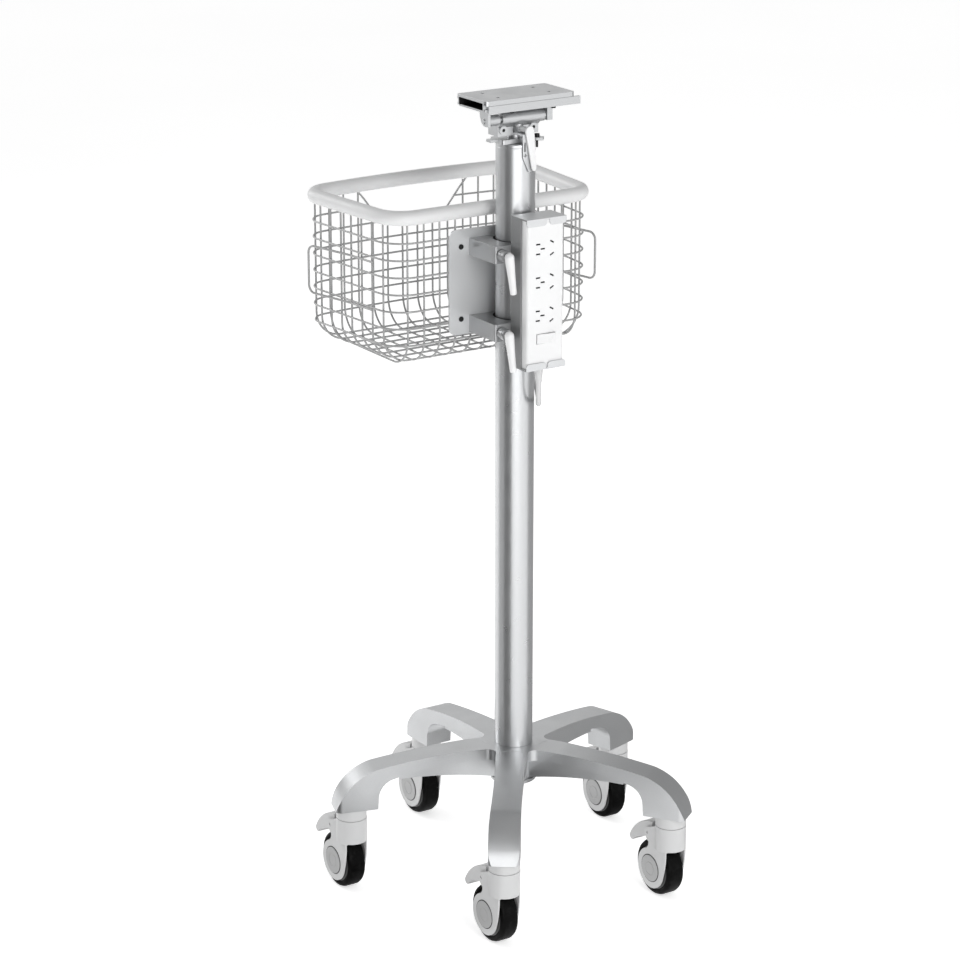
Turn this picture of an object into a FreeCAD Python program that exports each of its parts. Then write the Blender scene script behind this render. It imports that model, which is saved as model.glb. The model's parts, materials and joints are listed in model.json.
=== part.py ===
"""Roll stand for a patient monitor: five-arm base, casters, pole, wire basket, power strip, head.

Millimetres.  The origin is on the floor under the pole's axis, +Z is up, +X runs along the
mounting plate's long side and +Y points from the pole towards the basket.
"""
import FreeCAD, Part
import math
import os
import re

import Sketcher
from FreeCAD import Placement, Rotation
from FreeCAD import Vector as V

doc = FreeCAD.newDocument("roll_stand")
sheet = doc.addObject("Spreadsheet::Sheet", "dim")

# ---------------------------------------------------------------- driving dimensions
DIMENSIONS = {
    # pole
    "pole_radius": 25, "pole_wall": 2.5, "pole_bottom": 189, "pole_top": 988,
    # running and sliding clearances
    "fit": 0.05, "gap": 0.3,
    # star base
    "arm_count": 5, "stem_circle": 220, "arm_turn": 90, "hub_half_width": 20.5, "waist_half_width": 18.5,
    "end_half_width": 20.2, "arm_end": 245, "arm_end_corner": 9, "arm_top": 189, "hub_underside": 174,
    "stem_seat": 118.5, "arm_start": 60, "arm_waist": 140, "arm_shoulder": 215, "bend_start": 190,
    "seat_heel": 188,
    "web_half": 9, "boss_radius": 26.5, "boss_bottom": 142, "arm_fillet": 11,
    "hub_washer_radius": 30, "hub_washer_bottom": 138, "hub_bolt_radius": 6, "hub_bolt_head": 11,
    "hub_bolt_bottom": 130, "foot_plug_top": 215,
    # casters
    "stem_radius": 5.45, "stem_bottom": 84, "stem_top": 150, "collar_radius": 20, "collar_bottom": 104.4,
    "fork_top": 104, "fork_radius": 20.3, "fork_bottom": 71, "fork_half": 16.6, "bay_half": 14.6,
    "bay_radius": 39.5, "trail": 21, "wheel_radius": 37.5, "tyre_half": 12.6, "rim_radius": 29,
    "wheel_half": 11.7, "axle_radius": 4, "hubcap_radius": 19, "hubcap_half": 17.7, "disc_radius": 27.4,
    "pedal_half": 12.6, "pedal_pivot_y": 29, "pedal_pivot_z": 86, "pedal_pin_radius": 2,
    # swivel flange and yoke
    "plug_top": 993, "plug_spigot_bottom": 958, "swivel_radius": 8, "swivel_stub_bottom": 962,
    "flange_half_x": 28.6, "flange_half_y": 15, "flange_bottom": 993.3, "flange_top": 999, "flange_corner": 3,
    "ear_reach_left": -40, "ear_start": 20, "ear_reach": 35, "ear_turn": -40, "ear_half": 5.5,
    "ear_bottom": 995.5, "neck_radius": 11,
    "yoke_left": -34, "yoke_right": 26, "yoke_front": -12, "yoke_back": 10, "yoke_bottom": 1003.7,
    "yoke_top": 1018, "yoke_boss_radius": 5.5, "yoke_boss_front": -14, "yoke_boss_left": -26.5,
    "yoke_boss_right": 17.8, "yoke_boss_z": 1011.3, "yoke_screw_radius": 2.2, "groove_x": -4.3,
    "groove_y": -17, "groove_radius": 9, "groove_bottom": 1006.5,
    "tilt_y": -15, "tilt_z": 1026, "barrel_radius": 8, "barrel_left": -33, "barrel_right": 30,
    "tilt_pin_radius": 3.5, "knuckle_radius": 7, "knuckle_left": -53, "knuckle_right": -36,
    "lug_left": -57, "lug_right": -53, "collar_left": 30.6, "collar_right": 38.5,
    # lock lever, latch strap and thumb screw
    "lever_x": 1.5, "lever_z": 1010.5, "lever_head": 6.2, "lever_tip": 3.3, "lever_drop": 51,
    "lever_slant": 6.5, "lever_front": -31, "lever_back": -28, "lever_boss_radius": 3.8,
    "lever_screw_radius": 2.2, "lever_screw_back": -1,
    "strap_inner": 25.6, "strap_outer": 27.6, "strap_left": -6.5, "strap_right": 6.5, "strap_bottom": 958,
    "strap_top": 1006.2, "strap_bridge_bottom": 1003.9, "strap_bridge_right": 3, "strap_slot_left": -4.8,
    "strap_slot_right": -3, "strap_slot_low": 984, "strap_slot_high": 996, "strap_hole_x": -3.4,
    "strap_hole_z": 979.5, "strap_hole_radius": 1.9, "strap_reach": 30, "strap_cut_depth": 20,
    "thumb_x": 20.6, "thumb_y": -17.3, "thumb_radius": 3.2, "thumb_shaft_radius": 1.5,
    "thumb_head_bottom": 999.1,
    "thumb_head_top": 1003.4, "thumb_tip": 986,
    # rail and adapter plate
    "rail_left": -61, "rail_right": 74, "rail_half": 34, "rail_bottom": 1038, "rail_floor": 1040.5,
    "rail_wall": 2, "rail_lip_bottom": 1044, "rail_top": 1047.7, "rail_lip_inner": 30,
    "plate_half_length": 66, "plate_top": 1054, "plate_thick": 3, "hook_inner": 27.2, "hook_outer": 29.4,
    "hook_bottom": 1041, "toe_outer": 31.6, "toe_top": 1043.5, "vesa_x": 37.5, "vesa_y": 17.5,
    "vesa_hole_radius": 2.25, "plate_corner": 5, "skirt_bottom": 1048,
    "rail_screw_left": -25, "rail_screw_right": 36, "rail_screw_y": 30, "rail_screw_radius": 1.5,
    "rail_screw_head": 3.2, "rail_screw_height": 2.2,
    # carriage clamps
    "clamp_half": 50, "clamp_back": 29.4, "clamp_split": -25, "clamp_front": -31.5, "clamp_height": 22,
    "clamp_upper": 859.2, "clamp_pitch": 100, "liner_outer": 28, "clamp_corner": 2,
    "clamp_screw_x": -41, "clamp_screw_radius": 4, "clamp_hub_radius": 7.5, "clamp_hub_front": -46,
    "clamp_screw_back": 20, "handle_y": -50, "handle_head": 6.2, "handle_tip": 4.2, "handle_length": 48,
    "handle_slant": 7.5,
    # basket
    "basket_x": -9, "basket_near": 36, "basket_far": 240, "basket_bow": 12, "basket_half_near": 147,
    "basket_half_far": 163, "basket_corner_near": 34, "basket_corner_far": 26, "rim_z": 904,
    "rim_tube_radius": 9.5, "wire_radius": 1.3, "wire_weld": 0.4, "wire_bend": 35, "floor_z": 712,
    "ring_top": 872, "ring_pitch": 22, "ring_count": 7, "long_wires": 12, "long_pitch": 23,
    "cross_wires": 8, "cross_pitch": 22.5, "cross_first": 60.5,
    "scoop_top_half": 78, "scoop_bottom_half": 48, "scoop_x": -5, "scoop_bottom": 850,
    "sheet_half": 70, "sheet_thick": 3, "sheet_bottom": 746, "sheet_top": 882, "sheet_corner": 10,
    "sheet_screw_left": -62, "sheet_screw_right": 55, "sheet_screw_top": 860, "sheet_screw_bottom": 766.5,
    "sheet_screw_radius": 2.4, "sheet_screw_head": 3.4, "sheet_head_height": 1.4, "sheet_washer": 8,
    "washer_thick": 1.6, "sheet_nut_end": 42,
    "hook_wire": 1.5, "hook_low": 781, "hook_high": 843, "hook_bend": 10,
    # power strip
    "strip_left": -27, "strip_right": 32, "strip_bottom": 714, "strip_top": 908, "bracket_thick": 2,
    "bracket_back": -31.5, "bracket_wall_front": -54, "case_front": -66, "tab_front": -68,
    "tab_height": 9.5, "tab_corner": 4.5, "outlet_top": 869, "outlet_pitch": 42.6, "outlet_count": 3,
    "slot_depth": 9, "slot_length": 6.4, "slot_height": 2, "contact_length": 6, "contact_height": 1.6,
    "contact_depth": 3, "case_corner": 4,
    "rocker_x": 3, "rocker_half": 13, "rocker_low": 748, "rocker_high": 760, "rocker_margin": 1,
    "rocker_pocket_depth": 11, "rocker_pin_radius": 1.45, "rocker_pin_reach": 2.5,
    "relief_x": 4.5, "relief_y": -48, "relief_tip": 692, "relief_wide": 6, "relief_narrow": 4,
    # mains cord
    "cord_radius": 3.5, "hank_turn": -33.2, "hank_depth": 52, "hank_half": 21.6, "hank_fold": 21,
    "hank_low": 560, "hank_high": 700, "tie_half": 3, "tie_bar": 1.3, "tie_slack": 0.4, "tie_low": 688,
    "tie_high": 732, "plug_half_x": 13, "plug_half_y": 9, "plug_height": 40, "plug_corner": 4,
    "plug_top_z": 638,
    "plug_away": 94, "plug_pin_length": 17, "plug_pin_pitch": 12.7,
}
for row, (alias, number) in enumerate(DIMENSIONS.items(), start=1):
    sheet.set(f"A{row}", alias.replace("_", " "))
    sheet.set(f"B{row}", str(number))
    sheet.setAlias(f"B{row}", alias)
doc.recompute()


def size(alias):
    """A driving dimension as a number, for shapes made with Part's own functions."""
    return float(sheet.get(alias))


def bound(expression):
    """An expression with each bare word looked up in the sheet."""
    return re.sub(r"\b([a-z]\w*)\b(?!\()", r"dim.\1", str(expression))


def bind(piece, **expressions):
    for name, expression in expressions.items():
        piece.setExpression(name, bound(expression))
    return piece


def move(piece, x, y, z):
    for axis, expression in zip("xyz", (x, y, z)):
        piece.setExpression(f"Placement.Base.{axis}", bound(expression))
    return piece


nodes = {}


def node(name, piece):
    """Name the document object that becomes the file parts/NAME.step."""
    piece.Label = name
    nodes[name] = piece
    return piece


# ---------------------------------------------------------------- Part primitives
TURN_TO = {"X": Rotation(V(0, 1, 0), 90), "Y": Rotation(V(1, 0, 0), -90), "Z": Rotation()}


def along(axis, start, a, b):
    """Where a bar along an axis starts: a and b are its places on the other two axes, in order."""
    return {"X": (start, a, b), "Y": (a, start, b), "Z": (a, b, start)}[axis]


def box(x0, x1, y0, y1, z0, z1):
    piece = doc.addObject("Part::Box", "Block")
    bind(piece, Length=f"({x1})-({x0})", Width=f"({y1})-({y0})", Height=f"({z1})-({z0})")
    return move(piece, x0, y0, z0)


def rod(axis, radius, start, end, a=0, b=0):
    piece = doc.addObject("Part::Cylinder", "Rod")
    piece.Placement = Placement(V(), TURN_TO[axis])
    bind(piece, Radius=radius, Height=f"({end})-({start})")
    return move(piece, *along(axis, start, a, b))


def taper(axis, radius_start, radius_end, start, end, a=0, b=0):
    piece = doc.addObject("Part::Cone", "Taper")
    piece.Placement = Placement(V(), TURN_TO[axis])
    bind(piece, Radius1=radius_start, Radius2=radius_end, Height=f"({end})-({start})")
    return move(piece, *along(axis, start, a, b))


def ball(radius, x, y, z):
    return move(bind(doc.addObject("Part::Sphere", "Ball"), Radius=radius), x, y, z)


def fuse(*pieces):
    joined = doc.addObject("Part::MultiFuse", "Joined")
    joined.Shapes = list(pieces)
    return joined


def cut(base, *tools):
    left = doc.addObject("Part::Cut", "Cut")
    left.Base = base
    left.Tool = tools[0] if len(tools) == 1 else fuse(*tools)
    return left


def group(*pieces):
    """Identical fasteners or twins as separate solids of one node."""
    together = doc.addObject("Part::Compound", "Group")
    together.Links = list(pieces)
    return together


def soften(base, radius, chosen):
    """Round the edges of a finished shape for which chosen(edge) is true."""
    doc.recompute()
    rounded = doc.addObject("Part::Fillet", "Rounded")
    rounded.Base = base
    picks = [i for i, edge in enumerate(base.Shape.Edges, start=1) if chosen(edge)]
    rounded.Edges = [(i, size(radius), size(radius)) for i in picks]
    return rounded


def upright(edge):
    return isinstance(edge.Curve, Part.Line) and abs(edge.tangentAt(edge.FirstParameter).z) > 0.99


def shaped(shape):
    """A shape made with Part's own functions, as an object of the document."""
    piece = doc.addObject("Part::Feature", "Shaped")
    piece.Shape = shape
    return piece


# ---------------------------------------------------------------- PartDesign bodies
def outline(body, plane, corners):
    """A closed outline of straight lines: each corner is a pair of expressions from the origin."""
    sketch = body.newObject("Sketcher::SketchObject", "Outline")
    flat = [feature for feature in body.Origin.OriginFeatures if feature.Role == plane]
    sketch.AttachmentSupport = [(flat[0], "")]
    sketch.MapMode = "FlatFace"
    count = len(corners)
    step = 2 * math.pi / count
    start = [V(math.cos(i * step), math.sin(i * step), 0) for i in range(count)]
    for i in range(count):
        sketch.addGeometry(Part.LineSegment(start[i], start[(i + 1) % count]))
    for i in range(count):
        sketch.addConstraint(Sketcher.Constraint("Coincident", i, 2, (i + 1) % count, 1))
    for i, corner in enumerate(corners):
        places = (("DistanceX", start[i].x, corner[0]), ("DistanceY", start[i].y, corner[1]))
        for kind, now, expression in places:
            held = sketch.addConstraint(Sketcher.Constraint(kind, -1, 1, i, 1, now))
            sketch.setExpression(f"Constraints[{held}]", bound(expression))
    return sketch


def turned(name, corners, axis="Z"):
    """A body turned about its own axis from an outline of radius and height pairs."""
    body = doc.addObject("PartDesign::Body", name)
    sketch = outline(body, "XZ_Plane", corners)
    turn = body.newObject("PartDesign::Revolution", "Turn")
    turn.Profile = sketch
    turn.ReferenceAxis = (sketch, ["V_Axis"])
    turn.Angle = 360
    body.Placement = Placement(V(), TURN_TO[axis])
    return body


def padded(name, plane, corners, length):
    """A body of one outline padded evenly to both sides of its plane."""
    body = doc.addObject("PartDesign::Body", name)
    pad = body.newObject("PartDesign::Pad", "Pad")
    pad.Profile = outline(body, plane, corners)
    pad.Midplane = True
    bind(pad, Length=length)
    return body


def rounded_edges(body, radius, chosen):
    """Round a body's chosen edges."""
    doc.recompute()
    base = body.Tip
    rounding = body.newObject("PartDesign::Fillet", "Rounding")
    picks = [f"Edge{i}" for i, edge in enumerate(base.Shape.Edges, start=1) if chosen(edge)]
    rounding.Base = (base, picks)
    bind(rounding, Radius=radius)
    return body


# ---------------------------------------------------------------- pole
def make_pole():
    inner = "pole_radius-pole_wall"
    section = [(inner, 0), ("pole_radius", 0), ("pole_radius", "pole_top-pole_bottom"),
               (inner, "pole_top-pole_bottom")]
    node("pole", move(turned("Pole", section), 0, 0, "pole_bottom"))
    foot = [("hub_bolt_radius", 0), (inner, 0), (inner, "foot_plug_top-pole_bottom"),
            ("hub_bolt_radius", "foot_plug_top-pole_bottom")]
    node("pole_foot_plug", move(turned("Foot_plug", foot), 0, 0, "pole_bottom"))
    top = [("swivel_radius", "plug_spigot_bottom"), (inner, "plug_spigot_bottom"), (inner, "pole_top"),
           ("pole_radius", "pole_top"), ("pole_radius", "plug_top-1"), ("pole_radius-1", "plug_top"),
           ("swivel_radius", "plug_top")]
    node("pole_top_plug", turned("Top_plug", top))
    bolt = fuse(rod("Z", "hub_bolt_head", "hub_bolt_bottom", "hub_washer_bottom"),
                rod("Z", "hub_washer_radius", "hub_washer_bottom", "boss_bottom"),
                rod("Z", "hub_bolt_radius", "hub_washer_bottom", "foot_plug_top"))
    node("hub_bolt", bolt)


# ---------------------------------------------------------------- star base
def chain(*stretches):
    """A closed flat face from stretches: two points make a line, three an arc."""
    edges = []
    for stretch in stretches:
        if len(stretch) == 2:
            edges.append(Part.makeLine(*stretch))
        else:
            edges.append(Part.Arc(*stretch).toShape())
    return Part.Face(Part.Wire(edges))


def side(along_arm, height):
    return V(along_arm, 0, height)


def plan(along_arm, across):
    return V(along_arm, across, 0)


def arm_side_face():
    """The arm's side view: a flat top that curves down to the caster seat, hollow below."""
    top, under, seat = size("arm_top"), size("hub_underside"), size("stem_seat")
    end, hub, shoulder, heel = size("arm_end"), size("arm_start"), size("bend_start"), size("seat_heel")
    return chain(
        (side(0, under), side(0, top)),
        (side(0, top), side(hub, top - 0.5)),
        (side(hub, top - 0.5), side(125, top - 5.4), side(shoulder, top - 15.2)),
        (side(shoulder, top - 15.2), side(222, top - 33), side(end - 1, seat)),
        (side(end - 1, seat), side(heel, seat)),
        (side(heel, seat), side(heel - 1, seat + 14.5)),
        (side(heel - 1, seat + 14.5), side(heel - 7, seat + 31.5), side(heel - 20, seat + 40)),
        (side(heel - 20, seat + 40), side(118, under - 5), side(hub, under)),
        (side(hub, under), side(0, under)))


def arm_plan_face():
    """The arm seen from above: waisted, wide again over the caster and nearly square at its end."""
    hub, waist, wide = size("hub_half_width"), size("waist_half_width"), size("end_half_width")
    end, corner = size("arm_end"), size("arm_end_corner")
    start, middle, shoulder = size("arm_start"), size("arm_waist"), size("arm_shoulder")
    bulge = corner * (1 - math.sqrt(0.5))
    return chain(
        (plan(0, -hub), plan(start, -hub)),
        (plan(start, -hub), plan(middle, -waist), plan(shoulder, -wide)),
        (plan(shoulder, -wide), plan(end - corner, -wide)),
        (plan(end - corner, -wide), plan(end - bulge, -wide + bulge), plan(end, -wide + corner)),
        (plan(end, -wide + corner), plan(end, wide - corner)),
        (plan(end, wide - corner), plan(end - bulge, wide - bulge), plan(end - corner, wide)),
        (plan(end - corner, wide), plan(shoulder, wide)),
        (plan(shoulder, wide), plan(middle, waist), plan(start, hub)),
        (plan(start, hub), plan(0, hub)),
        (plan(0, hub), plan(0, -hub)))


def around(shape):
    """Copies of an arm's shape, one for each arm."""
    count = int(size("arm_count"))
    turned_copies = []
    for k in range(count):
        copy = shape.copy()
        copy.rotate(V(), V(0, 0, 1), size("arm_turn") + 360 / count * k)
        turned_copies.append(copy)
    return turned_copies


def joined(shapes):
    return shapes[0].multiFuse(shapes[1:]).removeSplitter()


def web_side_face():
    """The rib under each arm, seen from the side."""
    low, root, tip = size("boss_bottom"), 30, 157
    return chain(
        (side(0, low), side(root, low + 2.7)),
        (side(root, low + 2.7), side(90, 152.5), side(tip, 153.7)),
        (side(tip, 153.7), side(tip, 162)),
        (side(tip, 162), side(0, 180)),
        (side(0, 180), side(0, low)))


def make_star():
    reach, low, high, inner_corner = 34, 100, 200, 40
    flange = arm_side_face().extrude(V(0, 2 * reach, 0))
    flange.translate(V(0, -reach, 0))
    footprint = arm_plan_face().extrude(V(0, 0, high - low))
    footprint.translate(V(0, 0, low))
    prism = joined(around(footprint))
    corners = [e for e in prism.Edges
               if upright(e) and math.hypot(e.Vertexes[0].X, e.Vertexes[0].Y) < inner_corner]
    prism = prism.makeFillet(size("arm_fillet"), corners)
    star = prism.common(joined(around(flange)))
    web = web_side_face().extrude(V(0, 2 * size("web_half"), 0))
    web.translate(V(0, -size("web_half"), 0))
    boss = Part.makeCylinder(size("boss_radius"), size("arm_top") - size("boss_bottom"),
                             V(0, 0, size("boss_bottom")))
    star = star.multiFuse(around(web) + [boss]).removeSplitter()
    stem_bore = Part.makeCylinder(size("stem_radius") + size("fit"), size("stem_top") - low,
                                  V(size("stem_circle"), 0, low))
    bolt_bore = Part.makeCylinder(size("hub_bolt_radius"), high, V())
    node("base_star", shaped(star.cut(around(stem_bore) + [bolt_bore])))


# ---------------------------------------------------------------- casters
def stem_places():
    count = int(size("arm_count"))
    angles = [math.radians(size("arm_turn") + 360 / count * k) for k in range(count)]
    reach = size("stem_circle")
    return [V(round(reach * math.cos(a), 3), round(reach * math.sin(a), 3), 0) for a in angles]


def caster_side(back, height):
    """A point of the caster's side view: back is how far behind the stem it lies."""
    return V(0, back, height)


def fork_shape():
    """Cylindrical head, two side covers and the stem's socket, open below for the wheel."""
    axle = caster_side(size("trail"), size("wheel_radius"))
    half = size("fork_half")
    cover = chain(
        (caster_side(-11.4, 92), caster_side(-12, 68)),
        (caster_side(-12, 68), caster_side(-10, 48), caster_side(-4.4, 27.5)),
        (caster_side(-4.4, 27.5), axle),
        (axle, caster_side(35, 61)),
        (caster_side(35, 61), caster_side(27.5, 66.5), caster_side(26, 74)),
        (caster_side(26, 74), caster_side(33.6, 81), caster_side(34, 91)),
        (caster_side(34, 91), caster_side(10, 101)),
        (caster_side(10, 101), caster_side(-11.4, 92))).extrude(V(2 * half, 0, 0))
    cover.translate(V(-half, 0, 0))
    disc = Part.makeCylinder(size("disc_radius"), 2 * half, axle - V(half, 0, 0), V(1, 0, 0))
    head = Part.makeCylinder(size("fork_radius"), size("fork_top") - size("fork_bottom"),
                             V(0, 0, size("fork_bottom")))
    fork = cover.multiFuse([disc, head])
    inner = size("bay_half")
    bay = Part.makeCylinder(size("bay_radius"), 2 * inner, axle - V(inner, 0, 0), V(1, 0, 0))
    reach, opening_top, pedal_bay_start, pedal_bay_low = 60, 72, 22, 60
    front_opening = Part.makeBox(2 * inner, reach, opening_top, V(-inner, size("trail") - reach, 0))
    low_opening = Part.makeBox(2 * inner, reach, axle.z, V(-inner, 0, 0))
    pedal_bay = Part.makeBox(2 * inner, reach, reach, V(-inner, pedal_bay_start, pedal_bay_low))
    socket = Part.makeCylinder(size("stem_radius") + size("fit"), 30, V(0, 0, size("stem_bottom") - 1))
    bore = Part.makeCylinder(size("axle_radius"), 2 * half, axle - V(half, 0, 0), V(1, 0, 0))
    pivot = caster_side(size("pedal_pivot_y"), size("pedal_pivot_z"))
    pin_hole = Part.makeCylinder(size("pedal_pin_radius") + size("fit"), 2 * half, pivot - V(half, 0, 0),
                                 V(1, 0, 0))
    fork = fork.cut([bay, front_opening, low_opening, pedal_bay, socket, bore, pin_hole])
    return fork.removeSplitter()


def pedal_shape():
    """Duck-tail brake pedal that turns on two stub pins between the side covers."""
    half, edge_radius, shortest = size("pedal_half"), 1.5, 18
    tail = chain(
        (caster_side(23.5, 101.5), caster_side(54, 90), caster_side(74, 67.5)),
        (caster_side(74, 67.5), caster_side(73.6, 61.5), caster_side(68, 59.6)),
        (caster_side(68, 59.6), caster_side(59, 67), caster_side(49, 71.5)),
        (caster_side(49, 71.5), caster_side(34, 78)),
        (caster_side(34, 78), caster_side(23.5, 82)),
        (caster_side(23.5, 82), caster_side(23.5, 101.5))).extrude(V(2 * half, 0, 0))
    tail.translate(V(-half, 0, 0))
    long_edges = [e for e in tail.Edges if abs(e.CenterOfMass.x) > half - 1 and e.CenterOfMass.y > 30
                  and e.CenterOfMass.z > 60 and e.Length > shortest]
    tail = tail.makeFillet(edge_radius, long_edges)
    reach = size("fork_half") - 1
    pivot = caster_side(size("pedal_pivot_y"), size("pedal_pivot_z"))
    pin = Part.makeCylinder(size("pedal_pin_radius"), 2 * reach, pivot - V(reach, 0, 0), V(1, 0, 0))
    return tail.fuse(pin).removeSplitter()


def make_casters():
    fork, pedal = fork_shape(), pedal_shape()
    stems = []
    for k, place in enumerate(stem_places(), start=1):
        x, y = place.x, place.y
        wheel_y = f"{y}+trail"
        stems.append(fuse(rod("Z", "stem_radius", "stem_bottom", "stem_top", x, y),
                          rod("Z", "collar_radius", "collar_bottom", "stem_seat", x, y)))
        for name, shape in (("fork", fork), ("pedal", pedal)):
            piece = shaped(shape)
            piece.Placement = Placement(place, Rotation())
            node(f"caster_{k}_{name}", piece)
        axle = fuse(rod("X", "axle_radius", f"{x}-fork_half", f"{x}+fork_half", wheel_y, "wheel_radius"),
                    rod("X", "hubcap_radius", f"{x}-hubcap_half", f"{x}-fork_half", wheel_y, "wheel_radius"),
                    rod("X", "hubcap_radius", f"{x}+fork_half", f"{x}+hubcap_half", wheel_y, "wheel_radius"))
        node(f"caster_{k}_axle", axle)
        hub = turned(f"Wheel_{k}", [("axle_radius+fit", "-wheel_half"), ("rim_radius", "-wheel_half"),
                                    ("rim_radius", "wheel_half"), ("axle_radius+fit", "wheel_half")], "X")
        node(f"caster_{k}_wheel", move(hub, x, wheel_y, "wheel_radius"))
        tyre = turned(f"Tyre_{k}", [("rim_radius", "-wheel_half"), ("wheel_radius-5", "-tyre_half"),
                                    ("wheel_radius-1.5", "-tyre_half+1.6"), ("wheel_radius", "-tyre_half+5"),
                                    ("wheel_radius", "tyre_half-5"), ("wheel_radius-1.5", "tyre_half-1.6"),
                                    ("wheel_radius-5", "tyre_half"), ("rim_radius", "wheel_half")], "X")
        node(f"caster_{k}_tyre", move(tyre, x, wheel_y, "wheel_radius"))
    node("caster_stems", group(*stems))


# ---------------------------------------------------------------- swivel and tilt head
def make_yoke():
    ear = padded("Ear", "XY_Plane", [("ear_start", "-ear_half"), ("ear_reach", "-ear_half"),
                                     ("ear_reach", "ear_half"), ("ear_start", "ear_half")],
                 "flange_top-ear_bottom")
    ear.Placement = Placement(V(), Rotation(V(0, 0, 1), size("ear_turn")))
    move(ear, 0, 0, "(flange_top+ear_bottom)/2")
    plate = box("-flange_half_x", "flange_half_x", "-flange_half_y", "flange_half_y", "flange_bottom",
                "flange_top")
    flange = fuse(soften(plate, "flange_corner", upright),
                  rod("Z", "swivel_radius-fit", "swivel_stub_bottom", "flange_bottom+1"),
                  rod("Z", "neck_radius", "flange_top-1", "yoke_bottom"),
                  box("ear_reach_left", 0, "-ear_half", "ear_half", "ear_bottom", "flange_top"), ear)
    node("swivel_flange", cut(flange, rod("Z", "thumb_shaft_radius+fit", "ear_bottom-1", "flange_top+1",
                                          "thumb_x", "thumb_y")))
    web = padded("Yoke_web", "YZ_Plane", [
        ("yoke_front", "yoke_bottom"), ("yoke_back", "yoke_bottom"), ("yoke_back", "yoke_top"),
        ("tilt_y+barrel_radius", "tilt_z"), ("tilt_y", "tilt_z"), ("tilt_y-barrel_radius+1", "tilt_z-3"),
        ("yoke_front", "lever_z+lever_boss_radius+gap")], "yoke_right-yoke_left")
    move(web, "(yoke_left+yoke_right)/2", 0, 0)
    bosses = [rod("Y", "yoke_boss_radius", "yoke_boss_front", "yoke_back", x, "yoke_boss_z")
              for x in ("yoke_boss_left", "yoke_boss_right")]
    groove = rod("Z", "groove_radius", "groove_bottom", "yoke_boss_z+yoke_boss_radius", "groove_x", "groove_y")
    block = cut(web, groove)
    barrel = rod("X", "barrel_radius", "barrel_left", "barrel_right", "tilt_y", "tilt_z")
    screw_bores = [rod("Y", "yoke_screw_radius", "yoke_boss_front-1", 0, x, "yoke_boss_z")
                   for x in ("yoke_boss_left", "yoke_boss_right")]
    pin_bore = rod("X", "tilt_pin_radius+fit", "barrel_left-1", "barrel_right+1", "tilt_y", "tilt_z")
    lever_bore = rod("Y", "lever_screw_radius+fit", "yoke_boss_front", "lever_screw_back+1", "lever_x",
                     "lever_z")
    node("yoke", cut(fuse(block, barrel, *bosses), pin_bore, lever_bore, *screw_bores))
    sunk = "yoke_boss_front+1"
    screws = [rod("Y", "yoke_screw_radius", sunk, 0, x, "yoke_boss_z")
              for x in ("yoke_boss_left", "yoke_boss_right")]
    node("yoke_screws", group(*screws))


def make_head_controls():
    tip_low = "-lever_drop+lever_tip"
    handle = padded("Lock_handle", "XZ_Plane", [
        ("-lever_head", "-1"), ("-lever_head+2", "lever_head-1.5"), ("0", "lever_head"),
        ("lever_head-2", "lever_head-1.5"), ("lever_head", "-1"), ("lever_slant+lever_tip", tip_low),
        ("lever_slant+1", "-lever_drop"), ("lever_slant-1", "-lever_drop"), ("lever_slant-lever_tip", tip_low)],
        "lever_back-lever_front")
    move(handle, "lever_x", "(lever_front+lever_back)/2", "lever_z")
    lever = fuse(handle,
                 rod("Y", "lever_boss_radius", "lever_back-1", "yoke_front-gap", "lever_x", "lever_z"),
                 rod("Y", "lever_screw_radius", "yoke_front-1", "lever_screw_back", "lever_x", "lever_z"))
    node("lock_lever", lever)
    band = cut(rod("Z", "strap_outer", "strap_bottom", "strap_top"),
               rod("Z", "strap_inner", "strap_bottom-1", "strap_top+1"))
    outline_block = padded("Strap_outline", "XZ_Plane", [
        ("strap_left", "strap_top"), ("strap_bridge_right", "strap_top"), ("strap_right-1", "strap_hole_z"),
        ("strap_right", "strap_bottom"), ("strap_right-4.5", "strap_bottom"), ("strap_left", "strap_hole_z-3")],
        "4*strap_outer")
    front = doc.addObject("Part::MultiCommon", "Front")
    front.Shapes = [band, outline_block,
                    box("-strap_reach", "strap_reach", "-strap_reach", 0, "strap_bottom", "strap_top")]
    bridge = box("strap_left", "strap_bridge_right", "-strap_inner", "yoke_front", "strap_bridge_bottom",
                 "strap_top")
    slot = box("strap_slot_left", "strap_slot_right", "-strap_reach", "-strap_cut_depth", "strap_slot_low",
               "strap_slot_high")
    hole = rod("Y", "strap_hole_radius", "-strap_reach", "-strap_cut_depth", "strap_hole_x", "strap_hole_z")
    node("latch_strap", cut(fuse(front, bridge), slot, hole))
    thumb = fuse(rod("Z", "thumb_radius", "thumb_head_bottom", "thumb_head_top", "thumb_x", "thumb_y"),
                 rod("Z", "thumb_shaft_radius", "thumb_tip", "thumb_head_bottom", "thumb_x", "thumb_y"))
    node("swivel_thumbscrew", thumb)


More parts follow.
